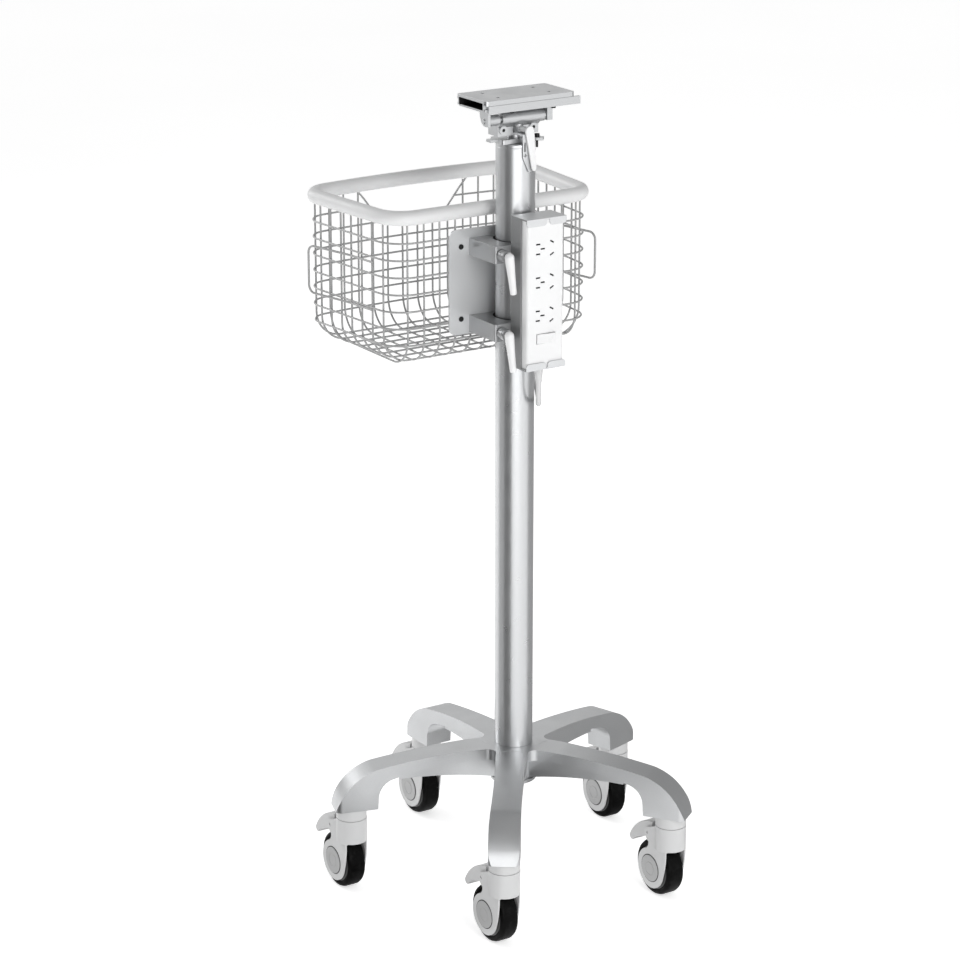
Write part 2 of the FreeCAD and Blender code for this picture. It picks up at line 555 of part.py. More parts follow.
def make_rail():
    channel = padded("Channel", "YZ_Plane", [
        ("-rail_half", "rail_bottom"), ("rail_half", "rail_bottom"), ("rail_half", "rail_top"),
        ("rail_lip_inner", "rail_top"), ("rail_lip_inner", "rail_lip_bottom"),
        ("rail_half-rail_wall", "rail_lip_bottom"), ("rail_half-rail_wall", "rail_floor"),
        ("-rail_half+rail_wall", "rail_floor"), ("-rail_half+rail_wall", "rail_lip_bottom"),
        ("-rail_lip_inner", "rail_lip_bottom"), ("-rail_lip_inner", "rail_top"), ("-rail_half", "rail_top")],
        "rail_right-rail_left")
    move(channel, "(rail_left+rail_right)/2", 0, 0)
    lug_side = [("tilt_y-10", "rail_bottom"), ("tilt_y+9", "rail_bottom"), ("tilt_y+8", "tilt_z+5"),
                ("tilt_y+5", "tilt_z-2"), ("tilt_y-1", "tilt_z-6"), ("tilt_y-10", "tilt_z-6")]
    lugs = []
    for name, low, high in (("Lug", "lug_left", "lug_right"), ("Collar", "collar_left", "collar_right")):
        lugs.append(move(padded(name, "YZ_Plane", lug_side, f"({high})-({low})"), f"({low}+{high})/2", 0, 0))
    pin_bore = rod("X", "tilt_pin_radius", "lug_left-1", "collar_right+1", "tilt_y", "tilt_z")
    screw_places = [(x, y) for x in ("rail_screw_left", "rail_screw_right")
                    for y in ("-rail_screw_y", "rail_screw_y")]
    screw_bores = [rod("Z", "rail_screw_radius", "rail_bottom-1", "rail_floor+1", x, y)
                   for x, y in screw_places]
    node("mount_rail", cut(fuse(channel, *lugs), pin_bore, *screw_bores))
    screws = [fuse(rod("Z", "rail_screw_head", "rail_bottom-rail_screw_height", "rail_bottom", x, y),
                   rod("Z", "rail_screw_radius", "rail_bottom", "rail_floor-0.1", x, y))
              for x, y in screw_places]
    node("rail_screws", group(*screws))
    pin = fuse(rod("X", "tilt_pin_radius", "lug_left-1", "collar_right+1", "tilt_y", "tilt_z"),
               rod("X", "knuckle_radius", "knuckle_left", "knuckle_right", "tilt_y", "tilt_z"))
    node("tilt_pin", pin)


def make_adapter_plate():
    under, skirt = "plate_top-plate_thick", "skirt_bottom"
    half = [("rail_half", "plate_top"), ("rail_half", skirt), ("rail_half-rail_wall", skirt),
            ("rail_half-rail_wall", under), ("hook_outer", under), ("hook_outer", "toe_top"),
            ("toe_outer", "toe_top"), ("toe_outer", "hook_bottom"), ("hook_inner", "hook_bottom"),
            ("hook_inner", under)]
    section = half + [(f"-({across})", up) for across, up in reversed(half)]
    plate = padded("Sliding_plate", "YZ_Plane", section, "2*plate_half_length")
    edge = size("rail_half") - 0.5
    corners = soften(plate, "plate_corner", lambda e: upright(e) and abs(e.CenterOfMass.y) > edge)
    holes = [rod("Z", "vesa_hole_radius", under + "-1", "plate_top+1", f"{i}*vesa_x", f"{j}*vesa_y")
             for i in (-1, 1) for j in (-1, 1)]
    node("adapter_plate", cut(corners, *holes))


# ---------------------------------------------------------------- clamps on the pole
CLAMP_LEVELS = ("clamp_upper", "clamp_upper-clamp_pitch")


def clamp_level(level):
    return f"{level}-clamp_height/2", f"{level}+clamp_height/2"


def make_clamps():
    liners, blocks, jaws = [], [], []
    for level, name in zip(CLAMP_LEVELS, ("upper", "lower")):
        low, high = clamp_level(level)
        liners.append(cut(rod("Z", "liner_outer", low, high),
                          rod("Z", "pole_radius+fit", f"{low}-1", f"{high}+1")))
        bore = rod("Z", "liner_outer+fit", f"{low}-1", f"{high}+1")
        screw_bore = rod("Y", "clamp_screw_radius+fit", "clamp_front-1", "clamp_screw_back+1", "clamp_screw_x",
                         level)
        body = box("-clamp_half", "clamp_half", "clamp_split", "clamp_back", low, high)
        blocks.append(cut(body, bore, screw_bore))
        jaw = box("-clamp_half", "clamp_half", "clamp_front", "clamp_split-0.3", low, high)
        jaw = soften(jaw, "clamp_corner", lambda e: upright(e) and e.CenterOfMass.y < size("clamp_front") + 1)
        jaws.append(cut(jaw, bore, screw_bore))
        handle = bind(doc.addObject("Part::Cone", "Handle"), Radius1="handle_head", Radius2="handle_tip",
                      Height="handle_length")
        handle.Placement = Placement(V(), Rotation(V(0, 1, 0), 180 - size("handle_slant")))
        move(handle, "clamp_screw_x", "handle_y", level)
        knob = [rod("Y", "clamp_screw_radius", "clamp_hub_front", "clamp_screw_back", "clamp_screw_x", level),
                rod("Y", "clamp_hub_radius", "clamp_hub_front", "clamp_front-0.1", "clamp_screw_x", level),
                ball("handle_head", "clamp_screw_x", "handle_y", level), handle]
        node(f"lever_{name}", fuse(*knob))
    node("clamp_liners", group(*liners))
    node("clamp_blocks", group(*blocks))
    node("clamp_jaws", group(*jaws))


# ---------------------------------------------------------------- basket
def tube(path, radius):
    """A round bar swept along a path of lines and arcs."""
    first = path.Edges[0]
    start = first.FirstParameter
    circle = Part.makeCircle(radius, first.valueAt(start), first.tangentAt(start))
    return path.makePipeShell([Part.Wire(circle)], True, False)


def bent(points, radii):
    """A path of straight runs joined by tangent arcs, one radius for each point between its ends."""
    edges = []
    here = points[0]
    for before, corner, after, radius in zip(points, points[1:], points[2:], radii):
        back, ahead = (before - corner).normalize(), (after - corner).normalize()
        half = back.getAngle(ahead) / 2
        reach = radius / math.tan(half)
        inward = (back + ahead).normalize()
        middle = corner + inward * (radius / math.sin(half) - radius)
        start, end = corner + back * reach, corner + ahead * reach
        edges.append(Part.LineSegment(here, start).toShape())
        edges.append(Part.Arc(start, middle, end).toShape())
        here = end
    edges.append(Part.LineSegment(here, points[-1]).toShape())
    return Part.Wire(edges)


def basket_floor():
    """The basket's plan as a face at height 0: a straight near side and a bowed far side."""
    x, near, far, bow = size("basket_x"), size("basket_near"), size("basket_far"), size("basket_bow")
    at_near, at_far = size("basket_half_near"), size("basket_half_far")
    face = chain(
        (V(x - at_near, near, 0), V(x + at_near, near, 0)),
        (V(x + at_near, near, 0), V(x + at_far, far - bow, 0)),
        (V(x + at_far, far - bow, 0), V(x, far, 0), V(x - at_far, far - bow, 0)),
        (V(x - at_far, far - bow, 0), V(x - at_near, near, 0)))
    block = face.extrude(V(0, 0, size("hook_bend")))
    for is_far, radius in ((False, "basket_corner_near"), (True, "basket_corner_far")):
        corners = [e for e in block.Edges if upright(e) and (e.CenterOfMass.y > 200) == is_far
                   and abs(e.CenterOfMass.x - x) > at_near - 1]
        block = block.makeFillet(size(radius), corners)
    return [side_face for side_face in block.Faces if abs(side_face.normalAt(0, 0).z + 1) < 1e-6][0]


def span(floor, across, value):
    """The two walls that a line of constant X (across is False) or constant Y (True) meets."""
    reach = 500
    ends = (V(-reach, value, 0), V(reach, value, 0)) if across else (V(value, -reach, 0), V(value, reach, 0))
    met = floor.common(Part.makeLine(*ends))
    return sorted(vertex.X if across else vertex.Y for vertex in met.Vertexes)


def hoop(floor, outward, height):
    ring = floor.OuterWire.makeOffset2D(outward) if outward else floor.OuterWire.copy()
    ring.translate(V(0, 0, height))
    return Part.Wire(Part.__sortEdges__(ring.Edges))


def cradle(floor, across, value, bottom, tops):
    """A wire that runs down one wall, across the floor and up the other wall."""
    near, far = span(floor, across, value)
    places = [(near, tops[0]), (near, bottom), (far, bottom), (far, tops[1])]
    points = [V(s, value, z) if across else V(value, s, z) for s, z in places]
    return tube(bent(points, [size("wire_bend")] * 2), size("wire_radius"))


def scoop_height(x, full):
    """How high the far wall's wire at x reaches: the far wall dips to a scoop in its middle."""
    away = abs(x - size("scoop_x"))
    low, high = size("scoop_bottom_half"), size("scoop_top_half")
    if away >= high:
        return full
    dip = size("scoop_bottom")
    return dip + (full - dip) * max(0, away - low) / (high - low)


HOOK_SWEEP = 60
HOOK_PLACES = ((-1, 80, 125, V(-183, 204, 0)), (1, 187, 140, V(165, 62, 0)))


def make_basket():
    """The wire basket, its rim tube and, on each side wall, a wire loop to hang things on."""
    floor = basket_floor()
    wire, x0 = size("wire_radius"), size("basket_x")
    outward = 2 * wire - size("wire_weld")
    full = size("rim_z") - size("rim_tube_radius") + 0.2
    wires = []
    for i in range(int(size("long_wires"))):
        x = x0 + size("long_pitch") * (i - (size("long_wires") - 1) / 2)
        wires.append(cradle(floor, False, x, size("floor_z"), (full, scoop_height(x, full))))
    for i in range(int(size("cross_wires"))):
        y = size("cross_first") + size("cross_pitch") * i
        wires.append(cradle(floor, True, y, size("floor_z") + outward, (full, full)))
    bend_top = size("floor_z") + size("wire_bend")
    scoop_x, low, high = size("scoop_x"), size("scoop_bottom_half"), size("scoop_top_half")
    for i in range(int(size("ring_count"))):
        z = size("ring_top") - size("ring_pitch") * i
        sunk = bend_top + 1 - z
        tucked = size("wire_bend") - math.sqrt(size("wire_bend") ** 2 - sunk ** 2) if sunk > 0 else 0
        ring = tube(hoop(floor, outward - tucked, z), wire)
        if z > size("scoop_bottom") + wire:
            half = low + (high - low) * (z - size("scoop_bottom")) / (full - size("scoop_bottom"))
            ring = ring.cut(Part.makeBox(2 * half, 100, 4 * wire,
                                         V(scoop_x - half, size("basket_far") - 60, z - 2 * wire)))
        wires.append(ring)
    for sense in (-1, 1):
        ends = []
        for half, z in ((low, size("scoop_bottom")), (high, full)):
            x = scoop_x + sense * half
            ends.append(V(x, span(floor, False, x)[1] + outward, z))
        wires.append(tube(Part.Wire(Part.LineSegment(*ends).toShape()), wire))
    mesh = wires[0].multiFuse(wires[1:])
    node("basket_mesh", shaped(mesh))
    node("basket_rim", shaped(tube(hoop(floor, 0, size("rim_z")), size("rim_tube_radius"))))
    hooks = []
    lift, low, high = size("hook_wire") + wire - 0.3, size("hook_low"), size("hook_high")
    for sense, start, turn, tip in HOOK_PLACES:
        wall = [span(floor, True, y)[(sense + 1) // 2] + sense * lift for y in (start, turn)]
        flat = [V(wall[0], start, 0), V(wall[1], turn, 0), tip]
        points = [p + V(0, 0, low) for p in flat] + [p + V(0, 0, high) for p in reversed(flat)]
        radii = [HOOK_SWEEP, size("hook_bend"), size("hook_bend"), HOOK_SWEEP]
        hooks.append(tube(bent(points, radii), size("hook_wire")))
    node("basket_hooks", shaped(Part.Compound(hooks)))


def make_basket_plate():
    half_up = "(sheet_top-sheet_bottom)/2"
    corners = [(f"{i}*sheet_half", f"{j}*{half_up}") for i, j in ((-1, -1), (1, -1), (1, 1), (-1, 1))]
    plate = padded("Sheet", "XZ_Plane", corners, "sheet_thick")
    rounded_edges(plate, "sheet_corner", lambda e: abs(e.tangentAt(e.FirstParameter).y) > 0.99)
    back, front = "clamp_back", "clamp_back+sheet_thick"
    move(plate, "basket_x", "clamp_back+sheet_thick/2", "(sheet_top+sheet_bottom)/2")
    places = [(x, z) for x in ("sheet_screw_left", "sheet_screw_right")
              for z in ("sheet_screw_top", "sheet_screw_bottom")]
    bores = [rod("Y", "sheet_screw_radius", f"{back}-1", f"{front}+1", x, z) for x, z in places]
    node("basket_plate", cut(plate, *bores))
    inside = "basket_near+wire_radius+0.1"
    screws = [fuse(rod("Y", "sheet_screw_head", f"{back}-sheet_head_height", back, x, z),
                   rod("Y", "sheet_screw_radius", f"{back}-0.1", "sheet_nut_end", x, z),
                   rod("Y", "sheet_washer", inside, f"{inside}+washer_thick", x, z),
                   rod("Y", "sheet_washer/2", f"{inside}+washer_thick-0.1", "sheet_nut_end", x, z))
              for x, z in places]
    node("plate_screws", group(*screws))


# ---------------------------------------------------------------- power strip
TAB_SPANS = (("strip_left", 3, 1), (7, "strip_right", 1), ("strip_left", 3, -1), (5, "strip_right", -1))


def make_strip_bracket():
    """A folded sheet channel that holds the strip by two bent tabs at each end."""
    thick = "bracket_thick"
    back = f"bracket_back-{thick}"
    walls = [box("strip_left", "strip_right", back, "bracket_back", "strip_bottom", "strip_top")]
    for low, high in (("strip_left", f"strip_left+{thick}"), (f"strip_right-{thick}", "strip_right")):
        walls.append(box(low, high, "bracket_wall_front", back, "strip_bottom", "strip_top"))
    for low, high in (("strip_bottom", f"strip_bottom+{thick}"), (f"strip_top-{thick}", "strip_top")):
        walls.append(box("strip_left", "strip_right", "tab_front", back, low, high))
    shell = fuse(*walls)
    tabs = []
    for left, right, top in TAB_SPANS:
        if top > 0:
            low, high = "strip_top-tab_height", "strip_top"
            free_end = size("strip_top") - size("tab_height")
        else:
            low, high = "strip_bottom", "strip_bottom+tab_height"
            free_end = size("strip_bottom") + size("tab_height")
        tab = box(left, right, "tab_front", "case_front", low, high)
        tabs.append(soften(tab, "tab_corner", lambda e: abs(e.tangentAt(e.FirstParameter).y) > 0.99
                           and abs(e.CenterOfMass.z - free_end) < 0.1))
    node("strip_bracket", fuse(shell, *tabs))


OUTLET_SLOTS = ((-8.9, 6.2, 0), (-8.9, -6.2, 0), (-2, 0, 0), (11.6, 7.8, 30), (11.6, -7.8, -30))


def blade(x, z, tilt, length, height, front, back):
    """A slot or contact seen end on, turned about the line that a plug slides along."""
    bar = Part.makeBox(length, back - front, height, V(-length / 2, 0, -height / 2))
    bar.rotate(V(), V(0, 1, 0), tilt)
    bar.translate(V(x, front, z))
    return bar


def make_power_strip():
    thick, clear = size("bracket_thick"), size("gap")
    left, right = size("strip_left") + thick + clear, size("strip_right") - thick - clear
    low, high = size("strip_bottom") + thick + clear, size("strip_top") - thick - clear
    front, back = size("case_front"), size("bracket_back") - thick - clear
    case = Part.makeBox(right - left, back - front, high - low, V(left, front, low))
    front_corners = [e for e in case.Edges if upright(e) and e.CenterOfMass.y < front + 1]
    case = case.makeFillet(size("case_corner"), front_corners)
    slots, contacts = [], []
    for i in range(int(size("outlet_count"))):
        level = size("outlet_top") - size("outlet_pitch") * i
        for x, z, tilt in OUTLET_SLOTS:
            deep = front + size("slot_depth")
            slots.append(blade(x, level + z, tilt, size("slot_length"), size("slot_height"), front - 1, deep))
            contacts.append(blade(x, level + z, tilt, size("contact_length"), size("contact_height"),
                                  deep - size("contact_depth"), deep))
    half, margin, rocker_x = size("rocker_half"), size("rocker_margin"), size("rocker_x")
    bottom, height = size("rocker_low"), size("rocker_high") - size("rocker_low")
    pocket = Part.makeBox(2 * (half + margin), size("rocker_pocket_depth") + 1, height + margin,
                          V(rocker_x - half - margin, front - 1, bottom - margin / 2))
    pin_radius, pin_reach = size("rocker_pin_radius"), size("rocker_pin_reach")
    pivot = front + 2 * (pin_radius + size("fit"))
    bar = Part.makeCylinder(pin_radius + size("fit"), height + 2 * pin_reach + margin,
                            V(rocker_x, pivot, bottom - pin_reach - margin / 2))
    node("strip_case", shaped(case.cut(slots + [pocket, bar])))
    node("outlet_contacts", shaped(Part.Compound(contacts)))
    profile = chain(
        (plan(-half, -3.4), plan(-3, -4.6), plan(half, -7)),
        (plan(half, -7), plan(half, 0)),
        (plan(half, 0), plan(0, 3)),
        (plan(0, 3), plan(-half, 0)),
        (plan(-half, 0), plan(-half, -3.4))).extrude(V(0, 0, height))
    pin = Part.makeCylinder(pin_radius, height + 2 * pin_reach, V(0, 0, -pin_reach))
    rocker = shaped(profile.fuse(pin))
    rocker.Placement = Placement(V(rocker_x, pivot, bottom), Rotation())
    node("rocker_switch", rocker)
    relief = taper("Z", "relief_narrow", "relief_wide", "relief_tip", "strip_bottom", "relief_x", "relief_y")
    node("strain_relief", relief)


# ---------------------------------------------------------------- mains cord
LEAD_ROUTE = ((30.2, -23, 657.5), (30.8, 6, 657), (28.5, 29, 667), (22.5, 44, 682))
TAIL_ROUTE = ((-18, 62, 694), (-14, 82, 690), (-6, 93, 672), (0, 94, 648))


def hank_frame(lateral, away, z):
    """A point given across and along the direction in which the hank stands behind the pole."""
    turn = math.radians(size("hank_turn"))
    return V(lateral * math.cos(turn) - away * math.sin(turn),
             lateral * math.sin(turn) + away * math.cos(turn), z)


def free_radii(points):
    """The largest tangent arcs that the runs of a cord's route allow."""
    radii = []
    for before, corner, after in zip(points, points[1:], points[2:]):
        ahead, back = after - corner, corner - before
        radii.append(0.45 * min(ahead.Length, back.Length) / math.tan(back.getAngle(ahead) / 2))
    return radii


def hank_shape():
    """The hank's envelope: its turns lie side by side, each over the top fold and under the low one."""
    depth, half = size("hank_depth"), size("hank_half")
    outer = size("hank_fold") + size("cord_radius")
    bottom, top = size("hank_low"), size("hank_high")
    low, high = bottom + outer, top - outer
    near, far = depth - outer, depth + outer
    rim = [hank_frame(-half, away, z) for away, z in (
        (near, low), (depth, bottom), (far, low), (far, high), (depth, top), (near, high))]
    stadium = chain((rim[0], rim[1], rim[2]), (rim[2], rim[3]), (rim[3], rim[4], rim[5]), (rim[5], rim[0]))
    return stadium.extrude(hank_frame(2 * half, 0, 0))


def frame_face(half, low, high):
    """An upright rectangle across the hank, at the near edge of its tie."""
    away = size("hank_depth") - size("tie_half")
    corners = [hank_frame(s * half, away, z) for s, z in ((-1, low), (1, low), (1, high), (-1, high))]
    return Part.Face(Part.makePolygon(corners + corners[:1]))


def tie_shape():
    """The strap that hangs the hank from a wire of the basket's floor."""
    bar, inner = size("tie_bar"), size("hank_half") + size("tie_slack")
    low, high = size("tie_low"), size("tie_high")
    deep = hank_frame(0, 2 * size("tie_half"), 0)
    whole = frame_face(inner + bar, low, high).extrude(deep)
    return whole.cut(frame_face(inner, low + bar, high - bar).extrude(deep))


def plug_shape():
    """A moulded two-pin plug that hangs pins down."""
    half_x, half_y, height = size("plug_half_x"), size("plug_half_y"), size("plug_height")
    body = Part.makeBox(2 * half_x, 2 * half_y, height, V(-half_x, -half_y, -height))
    body = body.makeFillet(size("plug_corner"), body.Edges)
    collar = Part.makeCone(6.5, 4, 12, V(0, 0, -2))
    thick, wide, length = 1.6, 6.4, size("plug_pin_length")
    pins = [Part.makeBox(thick, wide, length + 1,
                         V(s * size("plug_pin_pitch") / 2 - thick / 2, -wide / 2, -height - length))
            for s in (-1, 1)]
    plug = body.multiFuse([collar] + pins)
    plug.rotate(V(), V(0, 0, 1), size("hank_turn"))
    plug.translate(hank_frame(0, size("plug_away"), size("plug_top_z")))
    return plug


def make_cord():
    start = V(size("relief_x"), size("relief_y"), size("relief_tip"))
    first_drop = V(0, 0, -20)
    route = [start, start + first_drop] + [hank_frame(*point) for point in LEAD_ROUTE]
    tail_route = [hank_frame(*point) for point in TAIL_ROUTE]
    radii, tail_radii = free_radii(route), free_radii(tail_route)
    node("cord_lead", shaped(tube(bent(route, radii), size("cord_radius"))))
    tail = tube(bent(tail_route, tail_radii), size("cord_radius"))
    node("cord_hank", shaped(hank_shape().fuse(tail).removeSplitter()))
    node("cord_tie", shaped(tie_shape()))
    node("mains_plug", shaped(plug_shape()))
    print("cord arc radii", [round(radius, 1) for radius in radii + tail_radii])


# ---------------------------------------------------------------- build, check and write
make_pole()
make_star()
make_casters()
make_yoke()
make_head_controls()
make_rail()
make_adapter_plate()
make_clamps()
make_basket()
make_basket_plate()
make_strip_bracket()
make_power_strip()
make_cord()
doc.recompute()

failed = [piece.Name for piece in doc.Objects if {"Invalid", "Error"} & set(piece.State)]
if failed:
    raise RuntimeError(f"objects that failed to compute: {failed}")
for name, piece in nodes.items():
    if piece.Shape.isNull() or not piece.Shape.isValid():
        raise RuntimeError(f"{name} has no valid shape")

os.makedirs("parts", exist_ok=True)
for name, piece in nodes.items():
    piece.Shape.exportStep(f"parts/{name}.step")
print(len(nodes), "nodes,", sum(len(piece.Shape.Solids) for piece in nodes.values()), "solids")
print("basket mesh solids", len(nodes["basket_mesh"].Shape.Solids))
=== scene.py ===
"""Looks of the monitor roll stand: camera, materials, mains cord, basket, small parts and light."""
import json
import math

import bmesh
import bpy
from mathutils import Matrix, Vector


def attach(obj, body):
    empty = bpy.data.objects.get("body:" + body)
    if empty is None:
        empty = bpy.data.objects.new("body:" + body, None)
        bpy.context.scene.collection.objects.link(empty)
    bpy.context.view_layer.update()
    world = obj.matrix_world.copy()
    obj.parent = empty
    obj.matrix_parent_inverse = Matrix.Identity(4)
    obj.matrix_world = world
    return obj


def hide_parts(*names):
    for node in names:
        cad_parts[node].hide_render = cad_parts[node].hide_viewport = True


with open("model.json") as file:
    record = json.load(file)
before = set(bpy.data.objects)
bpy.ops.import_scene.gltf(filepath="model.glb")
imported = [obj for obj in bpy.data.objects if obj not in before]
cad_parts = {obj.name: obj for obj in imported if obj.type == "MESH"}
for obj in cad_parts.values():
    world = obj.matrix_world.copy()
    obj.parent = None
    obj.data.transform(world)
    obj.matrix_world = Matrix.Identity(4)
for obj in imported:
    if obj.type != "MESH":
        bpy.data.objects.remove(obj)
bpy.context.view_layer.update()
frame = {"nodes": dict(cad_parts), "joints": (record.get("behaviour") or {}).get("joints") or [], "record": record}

MM = 0.001
BODY_OF = {node: body for body, held in frame["record"]["behaviour"]["bodies"].items() for node in held}
SLOT_OF = {part["node"]: part["material_slot"] for part in frame["record"]["subparts"]}
PIVOT = {joint["name"]: [c / MM for c in joint["pos_m"]] for joint in frame["joints"] if "pos_m" in joint}
CASTERS = range(1, 6)


def mm(x, y, z):
    return Vector((x, y, z)) * MM


# ---------------------------------------------------------------- camera
def make_camera():
    """The camera stands 3.8 m from the pole and 1.8 m up, and looks down at the stand."""
    azimuth, pitch, yaw = math.radians(33.2), math.radians(17.77), math.radians(0.6634)
    distance, height, lens = 3.8146, 1.7727, 116.72
    away = Vector((math.sin(azimuth), math.cos(azimuth), 0))
    right = Vector((math.cos(azimuth), -math.sin(azimuth), 0))
    level = away * math.cos(yaw) - right * math.sin(yaw)
    look = level * math.cos(pitch) - Vector((0, 0, math.sin(pitch)))
    data = bpy.data.cameras.new("camera")
    data.lens, data.sensor_width = lens, 36
    camera = bpy.data.objects.new("camera", data)
    camera.location = -away * distance + Vector((0, 0, height))
    camera.rotation_euler = look.to_track_quat("-Z", "Y").to_euler()
    bpy.context.scene.collection.objects.link(camera)
    bpy.context.scene.camera = camera


make_camera()


# ---------------------------------------------------------------- materials
NOISE_ROUGH, COAT_ROUGH = 0.55, 0.15
NOISE_LOW, NOISE_HIGH = 0.3, 0.7
SILVER_TINT, MOULD_TINT = 0.015, 0.004
DUST = 0.32


class Look:
    """A node material: a base colour broken up by noise, with roughness and bump of their own."""

    def __init__(self, name, rough, metal=0.0, coat=0.0, specular=0.5):
        self.material = bpy.data.materials.new(name)
        self.material.use_nodes = True
        self.tree = self.material.node_tree
        self.shader = self.tree.nodes["Principled BSDF"]
        self.shader.inputs["Roughness"].default_value = rough
        self.shader.inputs["Metallic"].default_value = metal
        self.shader.inputs["Coat Weight"].default_value = coat
        self.shader.inputs["Coat Roughness"].default_value = COAT_ROUGH
        self.shader.inputs["Specular IOR Level"].default_value = specular
        self.place = self.add("ShaderNodeTexCoord").outputs["Object"]

    def add(self, kind, **values):
        node = self.tree.nodes.new(kind)
        for name, value in values.items():
            setattr(node, name, value)
        return node

    def link(self, source, target):
        self.tree.links.new(source, target)

    def noise(self, grain, detail):
        """Noise whose features are about grain millimetres across."""
        noise = self.add("ShaderNodeTexNoise")
        noise.inputs["Scale"].default_value = 1 / (grain * MM)
        noise.inputs["Detail"].default_value = detail
        noise.inputs["Roughness"].default_value = NOISE_ROUGH
        self.link(self.place, noise.inputs["Vector"])
        return noise.outputs["Fac"]

    def ramp(self, source, low, high, start=0.35, end=0.65):
        """Colours from low to high as the source goes from start to end."""
        ramp = self.add("ShaderNodeValToRGB")
        ramp.color_ramp.elements[0].position = start
        ramp.color_ramp.elements[1].position = end
        ramp.color_ramp.elements[0].color = (*low, 1)
        ramp.color_ramp.elements[1].color = (*high, 1)
        self.link(source, ramp.inputs["Fac"])
        return ramp.outputs["Color"]

    def scaled(self, source, strength):
        scale = self.add("ShaderNodeMath", operation="MULTIPLY")
        scale.inputs[1].default_value = strength
        self.link(source, scale.inputs[0])
        return scale.outputs["Value"]

    def blend(self, amount, under, over):
        """Mix two colours, each a node's output or a plain colour."""
        mix = self.add("ShaderNodeMix", data_type="RGBA")
        self.link(amount, mix.inputs["Factor"])
        for source, socket in ((under, "A"), (over, "B")):
            target = [i for i in mix.inputs if i.name == socket and i.type == "RGBA"][0]
            if hasattr(source, "links"):
                self.link(source, target)
            else:
                target.default_value = (*source, 1)
        return [o for o in mix.outputs if o.type == "RGBA"][0]

    def colour(self, source):
        self.link(source, self.shader.inputs["Base Color"])
        return self

    def roughness(self, source, low, high):
        spread = self.add("ShaderNodeMapRange")
        ends = {"From Min": NOISE_LOW, "From Max": NOISE_HIGH, "To Min": low, "To Max": high}
        for name, value in ends.items():
            spread.inputs[name].default_value = value
        self.link(source, spread.inputs["Value"])
        self.link(spread.outputs["Result"], self.shader.inputs["Roughness"])
        return self

    def bump(self, source, depth, strength):
        """Relief of depth millimetres."""
        bump = self.add("ShaderNodeBump")
        bump.inputs["Distance"].default_value = depth * MM
        bump.inputs["Strength"].default_value = strength
        self.link(source, bump.inputs["Height"])
        self.link(bump.outputs["Normal"], self.shader.inputs["Normal"])
        return self


def grey(level, tint=0.0):
    """A neutral grey; a positive tint is cooler."""
    return (level * (1 - tint), level, level * (1 + tint))


def painted_silver(name, level, rough, flake=0.6, metal=0.85):
    """Silver paint or anodising: fine metal flake under a slightly uneven, faintly handled surface."""
    look = Look(name, rough, metal=metal, coat=0.12)
    dull, bright = grey(level * 0.95, SILVER_TINT), grey(level * 1.04, SILVER_TINT)
    flakes = look.ramp(look.noise(flake, 2), dull, bright)
    handled = look.ramp(look.noise(60, 5), grey(0.35), grey(0.65))
    look.colour(look.blend(look.scaled(handled, 0.10), flakes, grey(level * 0.9, 0.01)))
    look.roughness(look.noise(25, 6), rough - 0.04, rough + 0.06)
    return look.bump(look.noise(2.5, 3), 0.004, 0.1)


def moulded(name, level, rough, grain=0.35, coat=0.1, specular=0.5):
    """Moulded plastic: a fine spark-eroded texture and slight shade changes from moulding."""
    look = Look(name, rough, coat=coat, specular=specular)
    look.colour(look.ramp(look.noise(45, 3), grey(level * 0.975, MOULD_TINT), grey(level, MOULD_TINT)))
    look.roughness(look.noise(18, 4), rough - 0.05, rough + 0.07)
    return look.bump(look.noise(grain, 2), 0.015, 0.35)


def rubber(name, level, rough, dust):
    """Rubber: near black, with dust in the fine texture."""
    look = Look(name, rough, specular=0.05)
    base = look.ramp(look.noise(12, 5), grey(level), grey(level * 1.5))
    dusty = look.ramp(look.noise(7, 6), grey(0), grey(1), 0.5, 0.8)
    look.colour(look.blend(look.scaled(dusty, dust), base, grey(DUST)))
    look.roughness(look.noise(9, 5), rough - 0.1, rough + 0.12)
    return look.bump(look.noise(0.5, 3), 0.03, 0.4)


